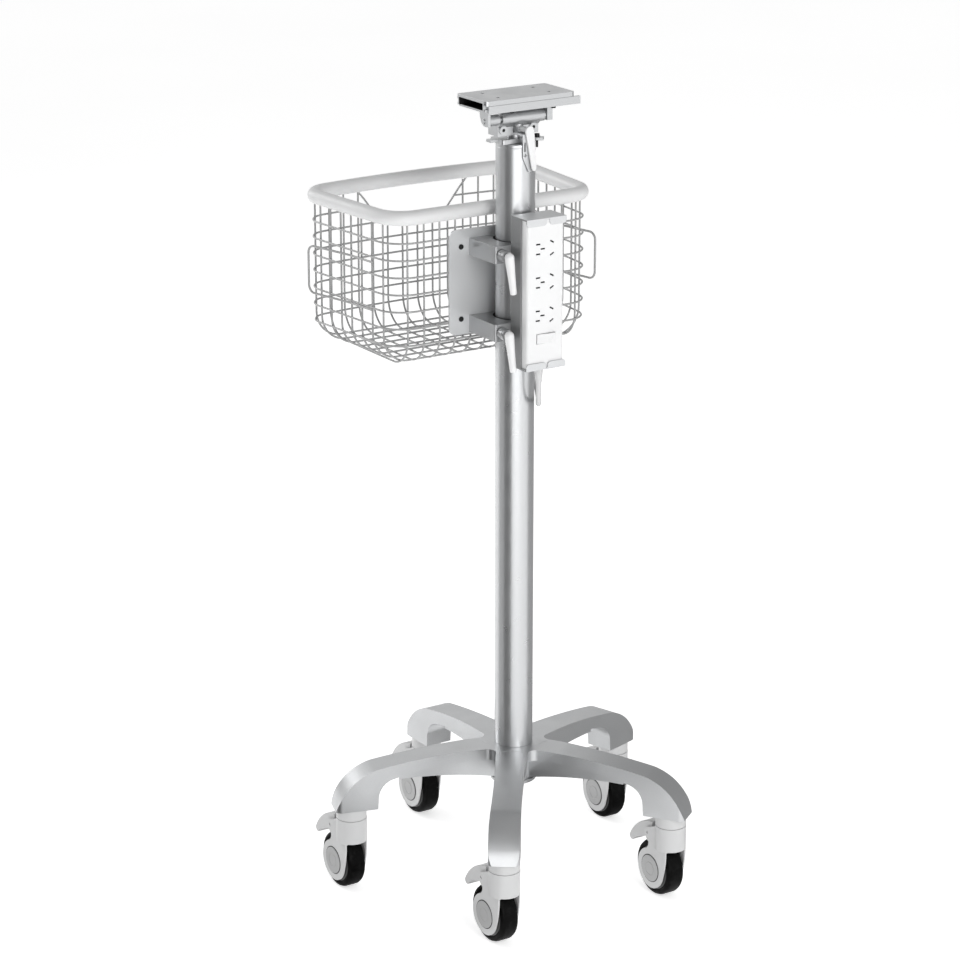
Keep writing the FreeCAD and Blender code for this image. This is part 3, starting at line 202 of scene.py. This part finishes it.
LOOKS = {
    "star_silver": painted_silver("star_silver", 0.54, 0.34, metal=0.95),
    "pole_silver": painted_silver("pole_silver", 0.56, 0.30, 0.4),
    "steel": painted_silver("zinc_steel", 0.42, 0.3),
    "head_silver": painted_silver("head_silver", 0.50, 0.32),
    "clamp_silver": painted_silver("clamp_silver", 0.44, 0.36),
    "sheet_silver": painted_silver("sheet_silver", 0.60, 0.40, metal=0.4),
    # the bracket's walls and its tabs are one silver paint: the darker copy is painted shade, the lighter one a
    # painted highlight
    "bracket_silver_painted_shade": painted_silver("bracket_silver_painted_shade", 0.24, 0.42, metal=0.4),
    "tab_silver_painted_light": painted_silver("tab_silver_painted_light", 0.62, 0.42, metal=0.3),
    "screw_black": painted_silver("screw_black", 0.02, 0.4),
    "hub_silver": painted_silver("hub_silver", 0.36, 0.3),
    "lever_white": moulded("lever_white", 0.80, 0.32),
    # this flat black is also the painted shade in the outlets' slots and inside the head's channel
    "liner_black": moulded("liner_black", 0.008, 0.6, coat=0.0, specular=0.2),
    "wire_white": moulded("wire_white", 0.36, 0.3, grain=1.5, coat=0.3),
    "rim_white": moulded("rim_white", 0.74, 0.5, grain=0.8),
    "strip_white": moulded("strip_white", 0.80, 0.4),
    # the brass contacts are coloured near black: painted shade for their place deep inside the slots
    "contact_dark": painted_silver("contact_brass_painted_shade", 0.05, 0.5),
    "rocker_white": moulded("rocker_white", 0.78, 0.3),
    "cord_grey": moulded("cord_sheath", 0.60, 0.5, grain=0.6),
    "tie_black": rubber("tie_black", 0.03, 0.8, 0.1),
    "plug_grey": moulded("plug_grey", 0.55, 0.45),
    "caster_white": moulded("caster_white", 0.60, 0.36),
    "cap_grey": moulded("cap_grey", 0.42, 0.4),
    "wheel_grey": moulded("wheel_grey", 0.12, 0.5),
    "tyre_black": rubber("tyre_black", 0.002, 0.42, 0.02),
}


# ---------------------------------------------------------------- making pieces
# sizes are in millimetres and angles in degrees, here and below, unless a comment says otherwise
WELD, FLAT_ANGLE = 0.004, 1.0
EDGE_ANGLE, FLAT_WEIGHT = 32, 90


def finish_piece(piece, node_names, look=None, crease=40):
    """Shade a piece, let it ride with its first CAD node's body and stand for all its nodes."""
    first = node_names[0]
    piece.data.materials.clear()
    piece.data.materials.append(LOOKS[look or SLOT_OF[first]].material)
    if piece.type == "MESH" and crease:
        for face in piece.data.polygons:
            face.use_smooth = True
        piece.data.set_sharp_from_angle(angle=math.radians(crease))
    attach(piece, BODY_OF[first])
    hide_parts(*node_names)
    return piece


def linked(name, data):
    piece = bpy.data.objects.new(name, data)
    bpy.context.scene.collection.objects.link(piece)
    return piece


def applied(piece):
    """Replace a piece's mesh by what its modifiers make of it."""
    graph = bpy.context.evaluated_depsgraph_get()
    made = bpy.data.meshes.new_from_object(piece.evaluated_get(graph))
    piece.modifiers.clear()
    piece.data = made
    return piece


def cad_mesh(name, node_name):
    """A CAD node's mesh, welded, with the triangles of each flat face joined again."""
    shape = bmesh.new()
    shape.from_mesh(frame["nodes"][node_name].data)
    bmesh.ops.remove_doubles(shape, verts=shape.verts, dist=WELD * MM)
    bmesh.ops.dissolve_limit(shape, angle_limit=math.radians(FLAT_ANGLE), verts=shape.verts,
                             edges=shape.edges)
    for face in shape.faces:
        face.smooth = True
    mesh = bpy.data.meshes.new(name)
    shape.to_mesh(mesh)
    shape.free()
    return mesh


def bevelled(name, node_name, width=0.5, segments=3, look=None):
    """A CAD node with its edges broken as a real part's are, and its flat faces shaded flat."""
    piece = linked(name, cad_mesh(name, node_name))
    bevel = piece.modifiers.new("edge", "BEVEL")
    bevel.width, bevel.segments = width * MM, segments
    bevel.limit_method, bevel.angle_limit = "ANGLE", math.radians(EDGE_ANGLE)
    bevel.use_clamp_overlap = True
    flat = piece.modifiers.new("flat_faces", "WEIGHTED_NORMAL")
    flat.mode, flat.weight, flat.keep_sharp = "FACE_AREA", FLAT_WEIGHT, False
    return finish_piece(applied(piece), [node_name], look, crease=None)


# ---------------------------------------------------------------- swept wires and tubes
def swept(name, paths, radius, node_names, closed=False, sides=5):
    """Round bars of one radius along paths of points, all in metres, joined as one piece."""
    data = bpy.data.curves.new(name, "CURVE")
    data.dimensions = "3D"
    data.bevel_depth, data.bevel_resolution = radius, sides
    data.use_fill_caps = True
    for path in paths:
        spline = data.splines.new("POLY")
        spline.points.add(len(path) - 1)
        for point, place in zip(spline.points, path):
            point.co = (*place, 1)
        spline.use_cyclic_u = closed
    curve = linked(name + "_path", data)
    mesh = bpy.data.meshes.new_from_object(curve.evaluated_get(bpy.context.evaluated_depsgraph_get()))
    bpy.data.objects.remove(curve)
    return finish_piece(linked(name, mesh), node_names, crease=60)


def rounded(points, radius, steps):
    """A path of straight runs with tangent arcs of a given radius at its corners."""
    path = [points[0]]
    for before, corner, after in zip(points, points[1:], points[2:]):
        back, ahead = (before - corner).normalized(), (after - corner).normalized()
        half = back.angle(ahead) / 2
        centre = corner + (back + ahead).normalized() * (radius / math.sin(half))
        start = corner + back * (radius / math.tan(half)) - centre
        turn = math.pi - 2 * half
        axis = start.cross(corner + ahead * (radius / math.tan(half)) - centre).normalized()
        path += [centre + Matrix.Rotation(turn * i / steps, 3, axis) @ start for i in range(steps + 1)]
    return path + [points[-1]]


# ---------------------------------------------------------------- mains cord
CORD_RADIUS = 3.5
# the hank stands behind the pole, along a line turned by HANK_TURN from +Y; its folds are half circles
HANK_TURN, HANK_DEPTH = -33.2, 52
HANK_FOLD, HANK_LOW, HANK_HIGH, FOLD_STEP = 21.4, 584.5, 675.5, 30
HANK_START, HANK_PITCH, HANK_TURNS = 18.0, 7.1, 5
# how much shorter each turn is than the first, at the top fold, and the share of that at the low fold
HANK_SLACK, SLACK_BELOW = (0, 2.2, 0.8, 2.8, 1.4), 0.7


def hank_frame(lateral, away, z):
    """A point given across and along the direction in which the hank stands behind the pole."""
    turn = math.radians(HANK_TURN)
    x = lateral * math.cos(turn) - away * math.sin(turn)
    y = lateral * math.sin(turn) + away * math.cos(turn)
    return mm(x, y, z)


def hank_turn(number):
    """One turn: over the top fold, down the far run, round the low fold and up the near run."""
    slack = HANK_SLACK[number]
    folds = [(90 - FOLD_STEP * i, HANK_HIGH - slack) for i in range(1, 4)]
    folds += [(-FOLD_STEP * i, HANK_LOW + slack * SLACK_BELOW) for i in range(7)]
    folds += [(180 - FOLD_STEP * i, HANK_HIGH - slack) for i in range(4)]
    turn = []
    for i, (angle, centre) in enumerate(folds):
        lateral = HANK_START - HANK_PITCH * (number + (i + 1) / len(folds))
        turn.append(hank_frame(lateral, HANK_DEPTH + HANK_FOLD * math.cos(math.radians(angle)),
                               centre + HANK_FOLD * math.sin(math.radians(angle))))
    return turn


def make_cord():
    """The mains cord: out of the strain relief, round the pole, five hank turns and the tail to the plug."""
    route = [mm(4.5, -48, 692), mm(4.5, -48, 672)]
    route += [hank_frame(*p) for p in ((30.2, -23, 657.5), (30.8, 6, 657), (28.5, 29, 667), (22.5, 44, 682))]
    for number in range(HANK_TURNS):
        route += hank_turn(number)
    route += [hank_frame(*p) for p in ((-18, 62, 694), (-14, 82, 690), (-6, 93, 672), (0, 94, 648))]
    data = bpy.data.curves.new("mains_cord", "CURVE")
    data.dimensions = "3D"
    data.bevel_depth, data.bevel_resolution, data.use_fill_caps = CORD_RADIUS * MM, 5, True
    spline = data.splines.new("NURBS")
    spline.points.add(len(route) - 1)
    for point, place in zip(spline.points, route):
        point.co = (*place, 1)
    spline.order_u, spline.resolution_u, spline.use_endpoint_u = 3, 8, True
    cord = finish_piece(linked("mains_cord", data), ["cord_lead", "cord_hank"])
    relief = bevelled("cord_strain_relief", "strain_relief", width=0.4)
    tie = bevelled("cord_strap", "cord_tie", width=0.3, segments=2)
    plug = bevelled("cord_plug", "mains_plug", width=0.3, segments=2)


# ---------------------------------------------------------------- basket
BASKET_X, NEAR, FAR, BOW = -9, 36, 240, 12
HALF_NEAR, HALF_FAR, CORNER_NEAR, CORNER_FAR = 147, 163, 34, 26
CORNER_STEPS, FAR_STEPS = 12, 24
RIM_Z, RIM_RADIUS, WIRE, WIRE_BEND, FLOOR_Z = 904, 9.5, 1.3, 35, 712
WIRE_TOP = RIM_Z - RIM_RADIUS + 1
RING_TOP, RING_PITCH, RING_COUNT = 872, 22, 7
RING_OUT = 2 * WIRE - 0.4
# deep wires run from the near wall to the far wall, long wires from one end wall to the other
DEEP_COUNT, DEEP_PITCH = 12, 23
LONG_COUNT, LONG_FIRST, LONG_PITCH = 8, 60.5, 22.5
SCOOP_X, SCOOP_LOW, SCOOP_HIGH, SCOOP_Z = -5, 48, 78, 850
# distance from the scoop's middle and height, along each slanted edge
SCOOP_EDGE = ((SCOOP_HIGH + 6, WIRE_TOP), (SCOOP_HIGH - 4, 884),
              (SCOOP_LOW + 6, 858), (SCOOP_LOW - 8, SCOOP_Z))
SCOOP_BEND = 12
HOOK_WIRE, HOOK_BEND, HOOK_OUT, HOOK_LOW, HOOK_HIGH = 1.5, 10, 2.5, 781, 843
# end wall, Y where the wire starts on the wall, Y where it turns away from it, and its outermost point
HOOKS = ((-1, 80, 125, (-183, 204)), (1, 187, 140, (165, 62)))


def basket_plan():
    """The basket's plan as a closed run of points in millimetres, counter-clockwise from the near side.

    Its far side bows outward.
    """
    ends = [Vector((BASKET_X + i * half, y, 0)) for i, half, y in (
        (-1, HALF_NEAR, NEAR), (1, HALF_NEAR, NEAR), (1, HALF_FAR, FAR - BOW), (-1, HALF_FAR, FAR - BOW))]
    plan = []
    for i, radius in enumerate((CORNER_NEAR, CORNER_NEAR, CORNER_FAR, CORNER_FAR)):
        plan += rounded([ends[i - 1], ends[i], ends[(i + 1) % 4]], radius, CORNER_STEPS)[1:-1]
    last = 3 * (CORNER_STEPS + 1)
    plan[last:last] = [plan[last - 1].lerp(plan[last], i / FAR_STEPS) for i in range(1, FAR_STEPS)]
    for point in plan:
        reach = min(1, max(0, (point.y - FAR + BOW + CORNER_FAR) / CORNER_FAR))
        bulge = 1 - ((point.x - BASKET_X) / HALF_FAR) ** 2
        point.y += BOW * bulge * reach * reach * (3 - 2 * reach)
    return plan


PLAN = basket_plan()


def hoop(outward, z):
    """The plan grown outward, at a height, in metres."""
    count = len(PLAN)
    ring = []
    for i, point in enumerate(PLAN):
        side = (PLAN[(i + 1) % count] - PLAN[i - 1]).normalized()
        ring.append((point + Vector((side.y, -side.x, 0)) * outward + Vector((0, 0, z))) * MM)
    return ring


def walls(axis, value):
    """Where a line of constant X (axis 0) or constant Y (axis 1) meets the plan, lowest first."""
    met = []
    for here, there in zip(PLAN, PLAN[1:] + PLAN[:1]):
        if (here[axis] - value) * (there[axis] - value) < 0:
            part = (value - here[axis]) / (there[axis] - here[axis])
            met.append(here[1 - axis] + part * (there[1 - axis] - here[1 - axis]))
    return min(met), max(met)


def scoop_height(x):
    """How high a wire of the far wall reaches: to the rim, or only to the scoop's edge."""
    away = abs(x - SCOOP_X)
    if away >= SCOOP_HIGH:
        return WIRE_TOP
    return SCOOP_Z + (WIRE_TOP - SCOOP_Z) * max(0, away - SCOOP_LOW) / (SCOOP_HIGH - SCOOP_LOW)


def cradle(axis, value, bottom, far_top):
    """A wire that goes down one wall, along the floor and up the other wall."""
    low, high = walls(axis, value)
    corners = [(low, WIRE_TOP), (low, bottom), (high, bottom), (high, far_top)]
    points = [mm(value, s, z) if axis == 0 else mm(s, value, z) for s, z in corners]
    return rounded(points, WIRE_BEND * MM, 10)


def open_ring(ring, z):
    """A ring above the scoop's floor, as an open run that leaves the scoop free."""
    half = (SCOOP_LOW + (SCOOP_HIGH - SCOOP_LOW) * (z - SCOOP_Z) / (WIRE_TOP - SCOOP_Z)) * MM
    middle = (NEAR + FAR) / 2 * MM
    gone = [point.y > middle and abs(point.x - SCOOP_X * MM) < half for point in ring]
    start = max(i for i, cut in enumerate(gone) if cut) + 1
    turned = zip(ring[start:] + ring[:start], gone[start:] + gone[:start])
    return [point for point, cut in turned if not cut]


def make_basket():
    deep = [BASKET_X + DEEP_PITCH * (i - (DEEP_COUNT - 1) / 2) for i in range(DEEP_COUNT)]
    wires = [cradle(0, x, FLOOR_Z, scoop_height(x)) for x in deep]
    long = [LONG_FIRST + LONG_PITCH * i for i in range(LONG_COUNT)]
    wires += [cradle(1, y, FLOOR_Z + RING_OUT, WIRE_TOP) for y in long]
    rings = []
    for i in range(RING_COUNT):
        z = RING_TOP - RING_PITCH * i
        sunk = max(0, FLOOR_Z + WIRE_BEND + 1 - z)
        ring = hoop(RING_OUT - WIRE_BEND + math.sqrt(WIRE_BEND ** 2 - sunk ** 2), z)
        if z > SCOOP_Z + WIRE:
            wires.append(open_ring(ring, z))
        else:
            rings.append(ring)
    for sense in (-1, 1):
        edge = [(SCOOP_X + sense * reach, z) for reach, z in SCOOP_EDGE]
        wires.append(rounded([mm(x, walls(0, x)[1] + RING_OUT, z) for x, z in edge], SCOOP_BEND * MM, 6))
    swept("basket_wires", wires, WIRE * MM, ["basket_mesh"])
    swept("basket_rings", rings, WIRE * MM, ["basket_mesh"], closed=True)
    swept("basket_rim_tube", [hoop(0, RIM_Z)], RIM_RADIUS * MM, ["basket_rim"], closed=True, sides=14)
    hooks = []
    for sense, start, turn, tip in HOOKS:
        side = 0 if sense < 0 else 1
        flat = [(walls(1, y)[side] + sense * HOOK_OUT, y) for y in (start, turn)] + [tip]
        low, high = [mm(*p, HOOK_LOW) for p in flat], [mm(*p, HOOK_HIGH) for p in reversed(flat)]
        hooks.append(rounded(low + high, HOOK_BEND * MM, 8))
    swept("basket_side_hooks", hooks, HOOK_WIRE * MM, ["basket_hooks"])


# ---------------------------------------------------------------- turned and flat pieces
def ring_mesh(profile, centre, axis, sides=40):
    """A closed solid of revolution: profile is radius and height pairs along the axis, in millimetres."""
    turn = Vector((0, 0, 1)).rotation_difference(Vector(axis)).to_matrix()
    shape = bmesh.new()
    rings = []
    for radius, height in profile:
        ring = []
        for i in range(sides):
            angle = 2 * math.pi * i / sides
            point = turn @ Vector((radius * math.cos(angle), radius * math.sin(angle), height))
            ring.append(shape.verts.new((Vector(centre) + point) * MM))
        rings.append(ring)
    for low, high in zip(rings, rings[1:]):
        for i in range(sides):
            shape.faces.new((low[i], low[(i + 1) % sides], high[(i + 1) % sides], high[i]))
    shape.faces.new(list(reversed(rings[0])))
    shape.faces.new(rings[-1])
    return shape


def solid(name, shapes, node_names, look=None, crease=40):
    """One piece out of several closed shapes."""
    mesh = bpy.data.meshes.new(name)
    whole = bmesh.new()
    for shape in shapes:
        part = bpy.data.meshes.new(name + "_part")
        shape.to_mesh(part)
        whole.from_mesh(part)
        bpy.data.meshes.remove(part)
        shape.free()
    whole.to_mesh(mesh)
    whole.free()
    return finish_piece(linked(name, mesh), node_names, look, crease)


def block_shape(low, high):
    """A closed box between two corners, in millimetres."""
    x0, y0, z0 = low
    x1, y1, z1 = high
    shape = bmesh.new()
    plan = ((x0, y0), (x1, y0), (x1, y1), (x0, y1))
    corners = [shape.verts.new(mm(x, y, z)) for z in (z0, z1) for x, y in plan]
    for face in ((3, 2, 1, 0), (4, 5, 6, 7), (0, 1, 5, 4), (1, 2, 6, 5), (2, 3, 7, 6), (3, 0, 4, 7)):
        shape.faces.new([corners[i] for i in face])
    return shape


def block(name, low, high, node_names, look):
    return solid(name, [block_shape(low, high)], node_names, look)


# ---------------------------------------------------------------- outlet strip
OUTLET_TOP, OUTLET_PITCH, OUTLET_COUNT = 869, 42.6, 3
# each slot's X, its height from the outlet's middle and its tilt
OUTLET_SLOTS = ((-8.9, 6.2, 0), (-8.9, -6.2, 0), (-2, 0, 0), (11.6, 7.8, 30), (11.6, -7.8, -30))
# the black blocks in the outlets' slots are painted shade for the dark inside of the slots
SLOT_SHADE_LENGTH, SLOT_SHADE_WIDTH, SLOT_SHADE_DEPTH, SLOT_SHADE_Y = 6.3, 1.9, 2, -65.3
TAB_FRONT = -65.9


def make_outlet_slots():
    """Black blocks just behind the strip's face, in the outlets' slots: painted shade for the dark inside of the
    slots.
    """
    shapes = []
    for i in range(OUTLET_COUNT):
        level = OUTLET_TOP - OUTLET_PITCH * i
        for x, z, tilt in OUTLET_SLOTS:
            shape = block_shape((-SLOT_SHADE_LENGTH / 2, 0, -SLOT_SHADE_WIDTH / 2),
                                (SLOT_SHADE_LENGTH / 2, SLOT_SHADE_DEPTH, SLOT_SHADE_WIDTH / 2))
            turn = Matrix.Rotation(math.radians(tilt), 4, "Y")
            shape.transform(Matrix.Translation(mm(x, SLOT_SHADE_Y, level + z)) @ turn)
            shapes.append(shape)
    solid("outlet_slot_shade", shapes, ["outlet_contacts"], "liner_black")


def paint_light_on_tabs(bracket):
    """The bracket's bent tabs and its ends catch more light than its walls: they get a lighter copy of its silver,
    a painted highlight, and the walls a darker one, painted shade.
    """
    bracket.data.materials.append(LOOKS["tab_silver_painted_light"].material)
    for face in bracket.data.polygons:
        if face.center.y < TAB_FRONT * MM or abs(face.normal.z) > 0.9:
            face.material_index = 1


# ---------------------------------------------------------------- head
# each black sheet's lowest corner and the X and Y of its opposite corner, and how thick a sheet is; the black
# sheets are painted shade inside the channel and the plate's hooked edges
SHADE_SHEET = 0.5
RAIL_SHADE = ((-60.6, -29.8, 1040.4), (73.6, 29.8))
PLATE_SHADE = ((-65.6, -27.1, 1050.6), (65.6, 27.1))
HOOK_SHADE_INNER, HOOK_SHADE_OUTER, HOOK_SHADE_LOW, HOOK_SHADE_TOP = 26.8, 27.3, 1041.1, 1051
SCREW_FRONT, SCREW_PLAY = -12.1, 0.06


def make_channel_shade():
    """Black sheets on the channel's floor, under the plate and inside the plate's hooked edges: painted shade for
    the dark inside of the channel.
    """
    for name, (low, high), node_name in (("rail_shade", RAIL_SHADE, "mount_rail"),
                                         ("plate_shade", PLATE_SHADE, "adapter_plate")):
        block(name, low, (*high, low[2] + SHADE_SHEET), [node_name], "liner_black")
    left, right = PLATE_SHADE[0][0], PLATE_SHADE[1][0]
    for name, y0, y1 in (("front", -HOOK_SHADE_OUTER, -HOOK_SHADE_INNER),
                         ("back", HOOK_SHADE_INNER, HOOK_SHADE_OUTER)):
        low, high = (left, y0, HOOK_SHADE_LOW), (right, y1, HOOK_SHADE_TOP)
        block(f"hook_pad_{name}", low, high, ["adapter_plate"], "liner_black")


def ease_lever_screw(lever):
    """Leave the lock lever's screw a little play in the yoke."""
    axis_x, _, axis_z = PIVOT["lock_lever_turn"]
    for vertex in lever.data.vertices:
        if vertex.co.y > SCREW_FRONT * MM:
            vertex.co.x += (axis_x * MM - vertex.co.x) * SCREW_PLAY
            vertex.co.z += (axis_z * MM - vertex.co.z) * SCREW_PLAY


# ---------------------------------------------------------------- caster caps
CAP_FACE, CAP_SIDES = 16.6, 56
CAP_PROFILE = [(17.9, 0), (17.9, 0.8), (17.5, 1.1), (9.6, 1.1), (9.2, 0.7), (8.6, 0.7), (8.2, 1.1), (5, 1.1)]
# a thin black disc under each cap shows round its rim: painted shade for the gap round the cap
GROOVE_SHADE_PROFILE = [(19, 0), (19, 0.25), (17.6, 0.25)]
AXLE_RADIUS, AXLE_START, AXLE_LENGTH = 4, 1.6, 15


def caster_caps(number):
    """Hubcaps with a raised centre in a ring groove, on the two halves of the axle, each on a thin black disc that
    shows round its rim as painted shade.
    """
    caps, groove_shades = [], []
    axle = [(AXLE_RADIUS, 0), (AXLE_RADIUS, AXLE_LENGTH)]
    x, y, z = PIVOT[f"wheel_{number}_spin"]
    for side in (-1, 1):
        out, face = (side, 0, 0), (x + side * CAP_FACE, y, z)
        groove_shades.append(ring_mesh(GROOVE_SHADE_PROFILE, face, out, CAP_SIDES))
        caps.append(ring_mesh(CAP_PROFILE, face, out, CAP_SIDES))
        caps.append(ring_mesh(axle, (x + side * AXLE_START, y, z), out))
    solid(f"caster_{number}_caps", caps, [f"caster_{number}_axle"], "cap_grey", crease=30)
    solid(f"caster_{number}_cap_groove_shades", groove_shades, [f"caster_{number}_axle"], "screw_black", crease=30)


# ---------------------------------------------------------------- clamp levers
HUB_Y = -46.2
HUB_PROFILE = [(6.9, 0), (7.5, 0.6), (7.5, 12.9), (6.9, 13.5), (4, 13.5), (4, 14.6), (6.6, 14.6)]
SCREW_Y, SCREW_RADIUS, SCREW_LENGTH = -46, 4, 66
HANDLE_Y, HANDLE_SLANT, HANDLE_HEAD = -50, 7.5, 6.1
HANDLE_TAPER = [(HANDLE_HEAD, 0), (5.8, 8), (5.0, 22), (4.4, 38), (4.2, 46.4), (3.8, 47.6), (3.0, 48)]


def make_clamp_levers():
    """Each lever is a turned hub on a screw, and a tapered handle that hangs from it at a slant."""
    angles = [math.radians(degrees) for degrees in range(6, 90, 12)]
    head = [(HANDLE_HEAD * math.sin(angle), -HANDLE_HEAD * math.cos(angle)) for angle in angles]
    slant = math.radians(HANDLE_SLANT)
    down = (math.sin(slant), 0, -math.cos(slant))
    for name in ("upper", "lower"):
        x, _, z = PIVOT[f"{name}_clamp_turn"]
        hub = ring_mesh(HUB_PROFILE, (x, HUB_Y, z), (0, 1, 0))
        screw = ring_mesh([(SCREW_RADIUS, 0), (SCREW_RADIUS, SCREW_LENGTH)], (x, SCREW_Y, z), (0, 1, 0))
        solid(f"clamp_hub_{name}", [hub, screw], [f"lever_{name}"], "hub_silver")
        solid(f"clamp_handle_{name}", [ring_mesh(head + HANDLE_TAPER, (x, HANDLE_Y, z), down)],
              [f"lever_{name}"])


# ---------------------------------------------------------------- the whole stand
WIDTHS = {"base_star": 2.0, "pole": 0.4, "strip_case": 1.0}
MADE_APART = {"basket_mesh", "basket_rim", "basket_hooks", "strain_relief", "cord_lead", "cord_hank",
              "cord_tie", "mains_plug", "lever_upper", "lever_lower", "lock_lever", "strip_bracket"}
MADE_APART |= {f"caster_{number}_axle" for number in CASTERS}


def main():
    make_cord()
    make_basket()
    make_clamp_levers()
    make_channel_shade()
    make_outlet_slots()
    for number in CASTERS:
        caster_caps(number)
    ease_lever_screw(bevelled("lock_lever_part", "lock_lever"))
    # the bracket in a darker silver, painted shade, with its tabs and ends in a lighter one, a painted highlight
    paint_light_on_tabs(bevelled("strip_bracket_part", "strip_bracket", width=0.4, look="bracket_silver_painted_shade"))
    for node_name in frame["nodes"]:
        if node_name not in MADE_APART:
            bevelled(node_name + "_part", node_name, width=WIDTHS.get(node_name, 0.5))


main()


# ---------------------------------------------------------------- stage and light
# sizes and places are in metres in this section
FLOOR_HALF, FLOOR_GLOW, WORLD_GLOW = 30.0, 0.60, 0.42
CARD_NEAR, CARD_FAR, CARD_LIFT = 0.06, 2.6, 0.004
CARDS = (
    # name, azimuths from and to, level, heights from and to, whether it also lies on the floor
    ("dim_left", -226, -190, 0.55, 0, 2.4, True),
    ("dark_left", -188, -139, 0.10, 0, 2.4, True),
    ("bright_front", -137, -98, 2.4, 0, 1.4, False),
    ("bright_right", -76, -38, 1.35, 0, 2.0, False),
    ("dim_right", -36, 47, 0.40, 0, 2.6, True),
    ("behind", 48, 104, 0.85, 0.4, 2.6, False))


def area_light(name, spot, aim, size, power):
    data = bpy.data.lights.new(name, "AREA")
    data.shape, data.size, data.size_y, data.energy = "RECTANGLE", size[0], size[1], power
    light = linked(name, data)
    light.location = spot
    light.rotation_euler = (Vector(aim) - Vector(spot)).to_track_quat("-Z", "Y").to_euler()


def card(name, corners, level):
    """A card of a given grey that only shows in the gloss of the object."""
    mesh = bpy.data.meshes.new(name)
    mesh.from_pydata(corners, [], [tuple(range(len(corners)))])
    piece = linked(name, mesh)
    look = Look(name, 0.9, specular=0.0)
    look.shader.inputs["Base Color"].default_value = (0, 0, 0, 1)
    look.shader.inputs["Emission Color"].default_value = (1, 1, 1, 1)
    look.shader.inputs["Emission Strength"].default_value = level
    mesh.materials.append(look.material)
    piece.visible_camera = piece.visible_shadow = piece.visible_diffuse = False


def around_pole(azimuth, distance, z):
    """A point at an azimuth in degrees and a distance from the pole, in metres."""
    angle = math.radians(azimuth)
    return (distance * math.cos(angle), distance * math.sin(angle), z)


def make_cards():
    for name, start, end, level, low, high, lies in CARDS:
        near = [around_pole(azimuth, CARD_NEAR, CARD_LIFT) for azimuth in (start, end)]
        far = [around_pole(azimuth, CARD_FAR, CARD_LIFT) for azimuth in (end, start)]
        foot = [around_pole(azimuth, CARD_FAR, low) for azimuth in (start, end)]
        top = [around_pole(azimuth, CARD_FAR, high) for azimuth in (end, start)]
        if lies:
            card(name + "_floor", near + far, level)
        card(name + "_wall", foot + top, level)


def make_stage():
    """A pale floor, an even surrounding light, two soft lamps and the cards."""
    half = FLOOR_HALF
    corners = [(-half, -half, 0), (half, -half, 0), (half, half, 0), (-half, half, 0)]
    mesh = bpy.data.meshes.new("floor")
    mesh.from_pydata(corners, [], [(0, 1, 2, 3)])
    floor = linked("floor", mesh)
    look = Look("floor", 0.7, specular=0.2)
    look.colour(look.ramp(look.noise(900, 2), grey(0.90), grey(0.92)))
    look.shader.inputs["Emission Color"].default_value = (1, 1, 1, 1)
    look.shader.inputs["Emission Strength"].default_value = FLOOR_GLOW
    mesh.materials.append(look.material)
    world = bpy.data.worlds.new("world")
    world.use_nodes = True
    world.node_tree.nodes["Background"].inputs["Color"].default_value = (1, 1, 1, 1)
    world.node_tree.nodes["Background"].inputs["Strength"].default_value = WORLD_GLOW
    bpy.context.scene.world = world
    area_light("key", (-0.2, -2.6, 1.5), (0, 0, 0.6), (1.0, 1.8), 30)
    area_light("left_rim", (-1.2, 2.6, 1.9), (0, 0, 0.5), (1.4, 1.4), 34)
    make_cards()
    bpy.context.scene.view_settings.view_transform = "Standard"


make_stage()
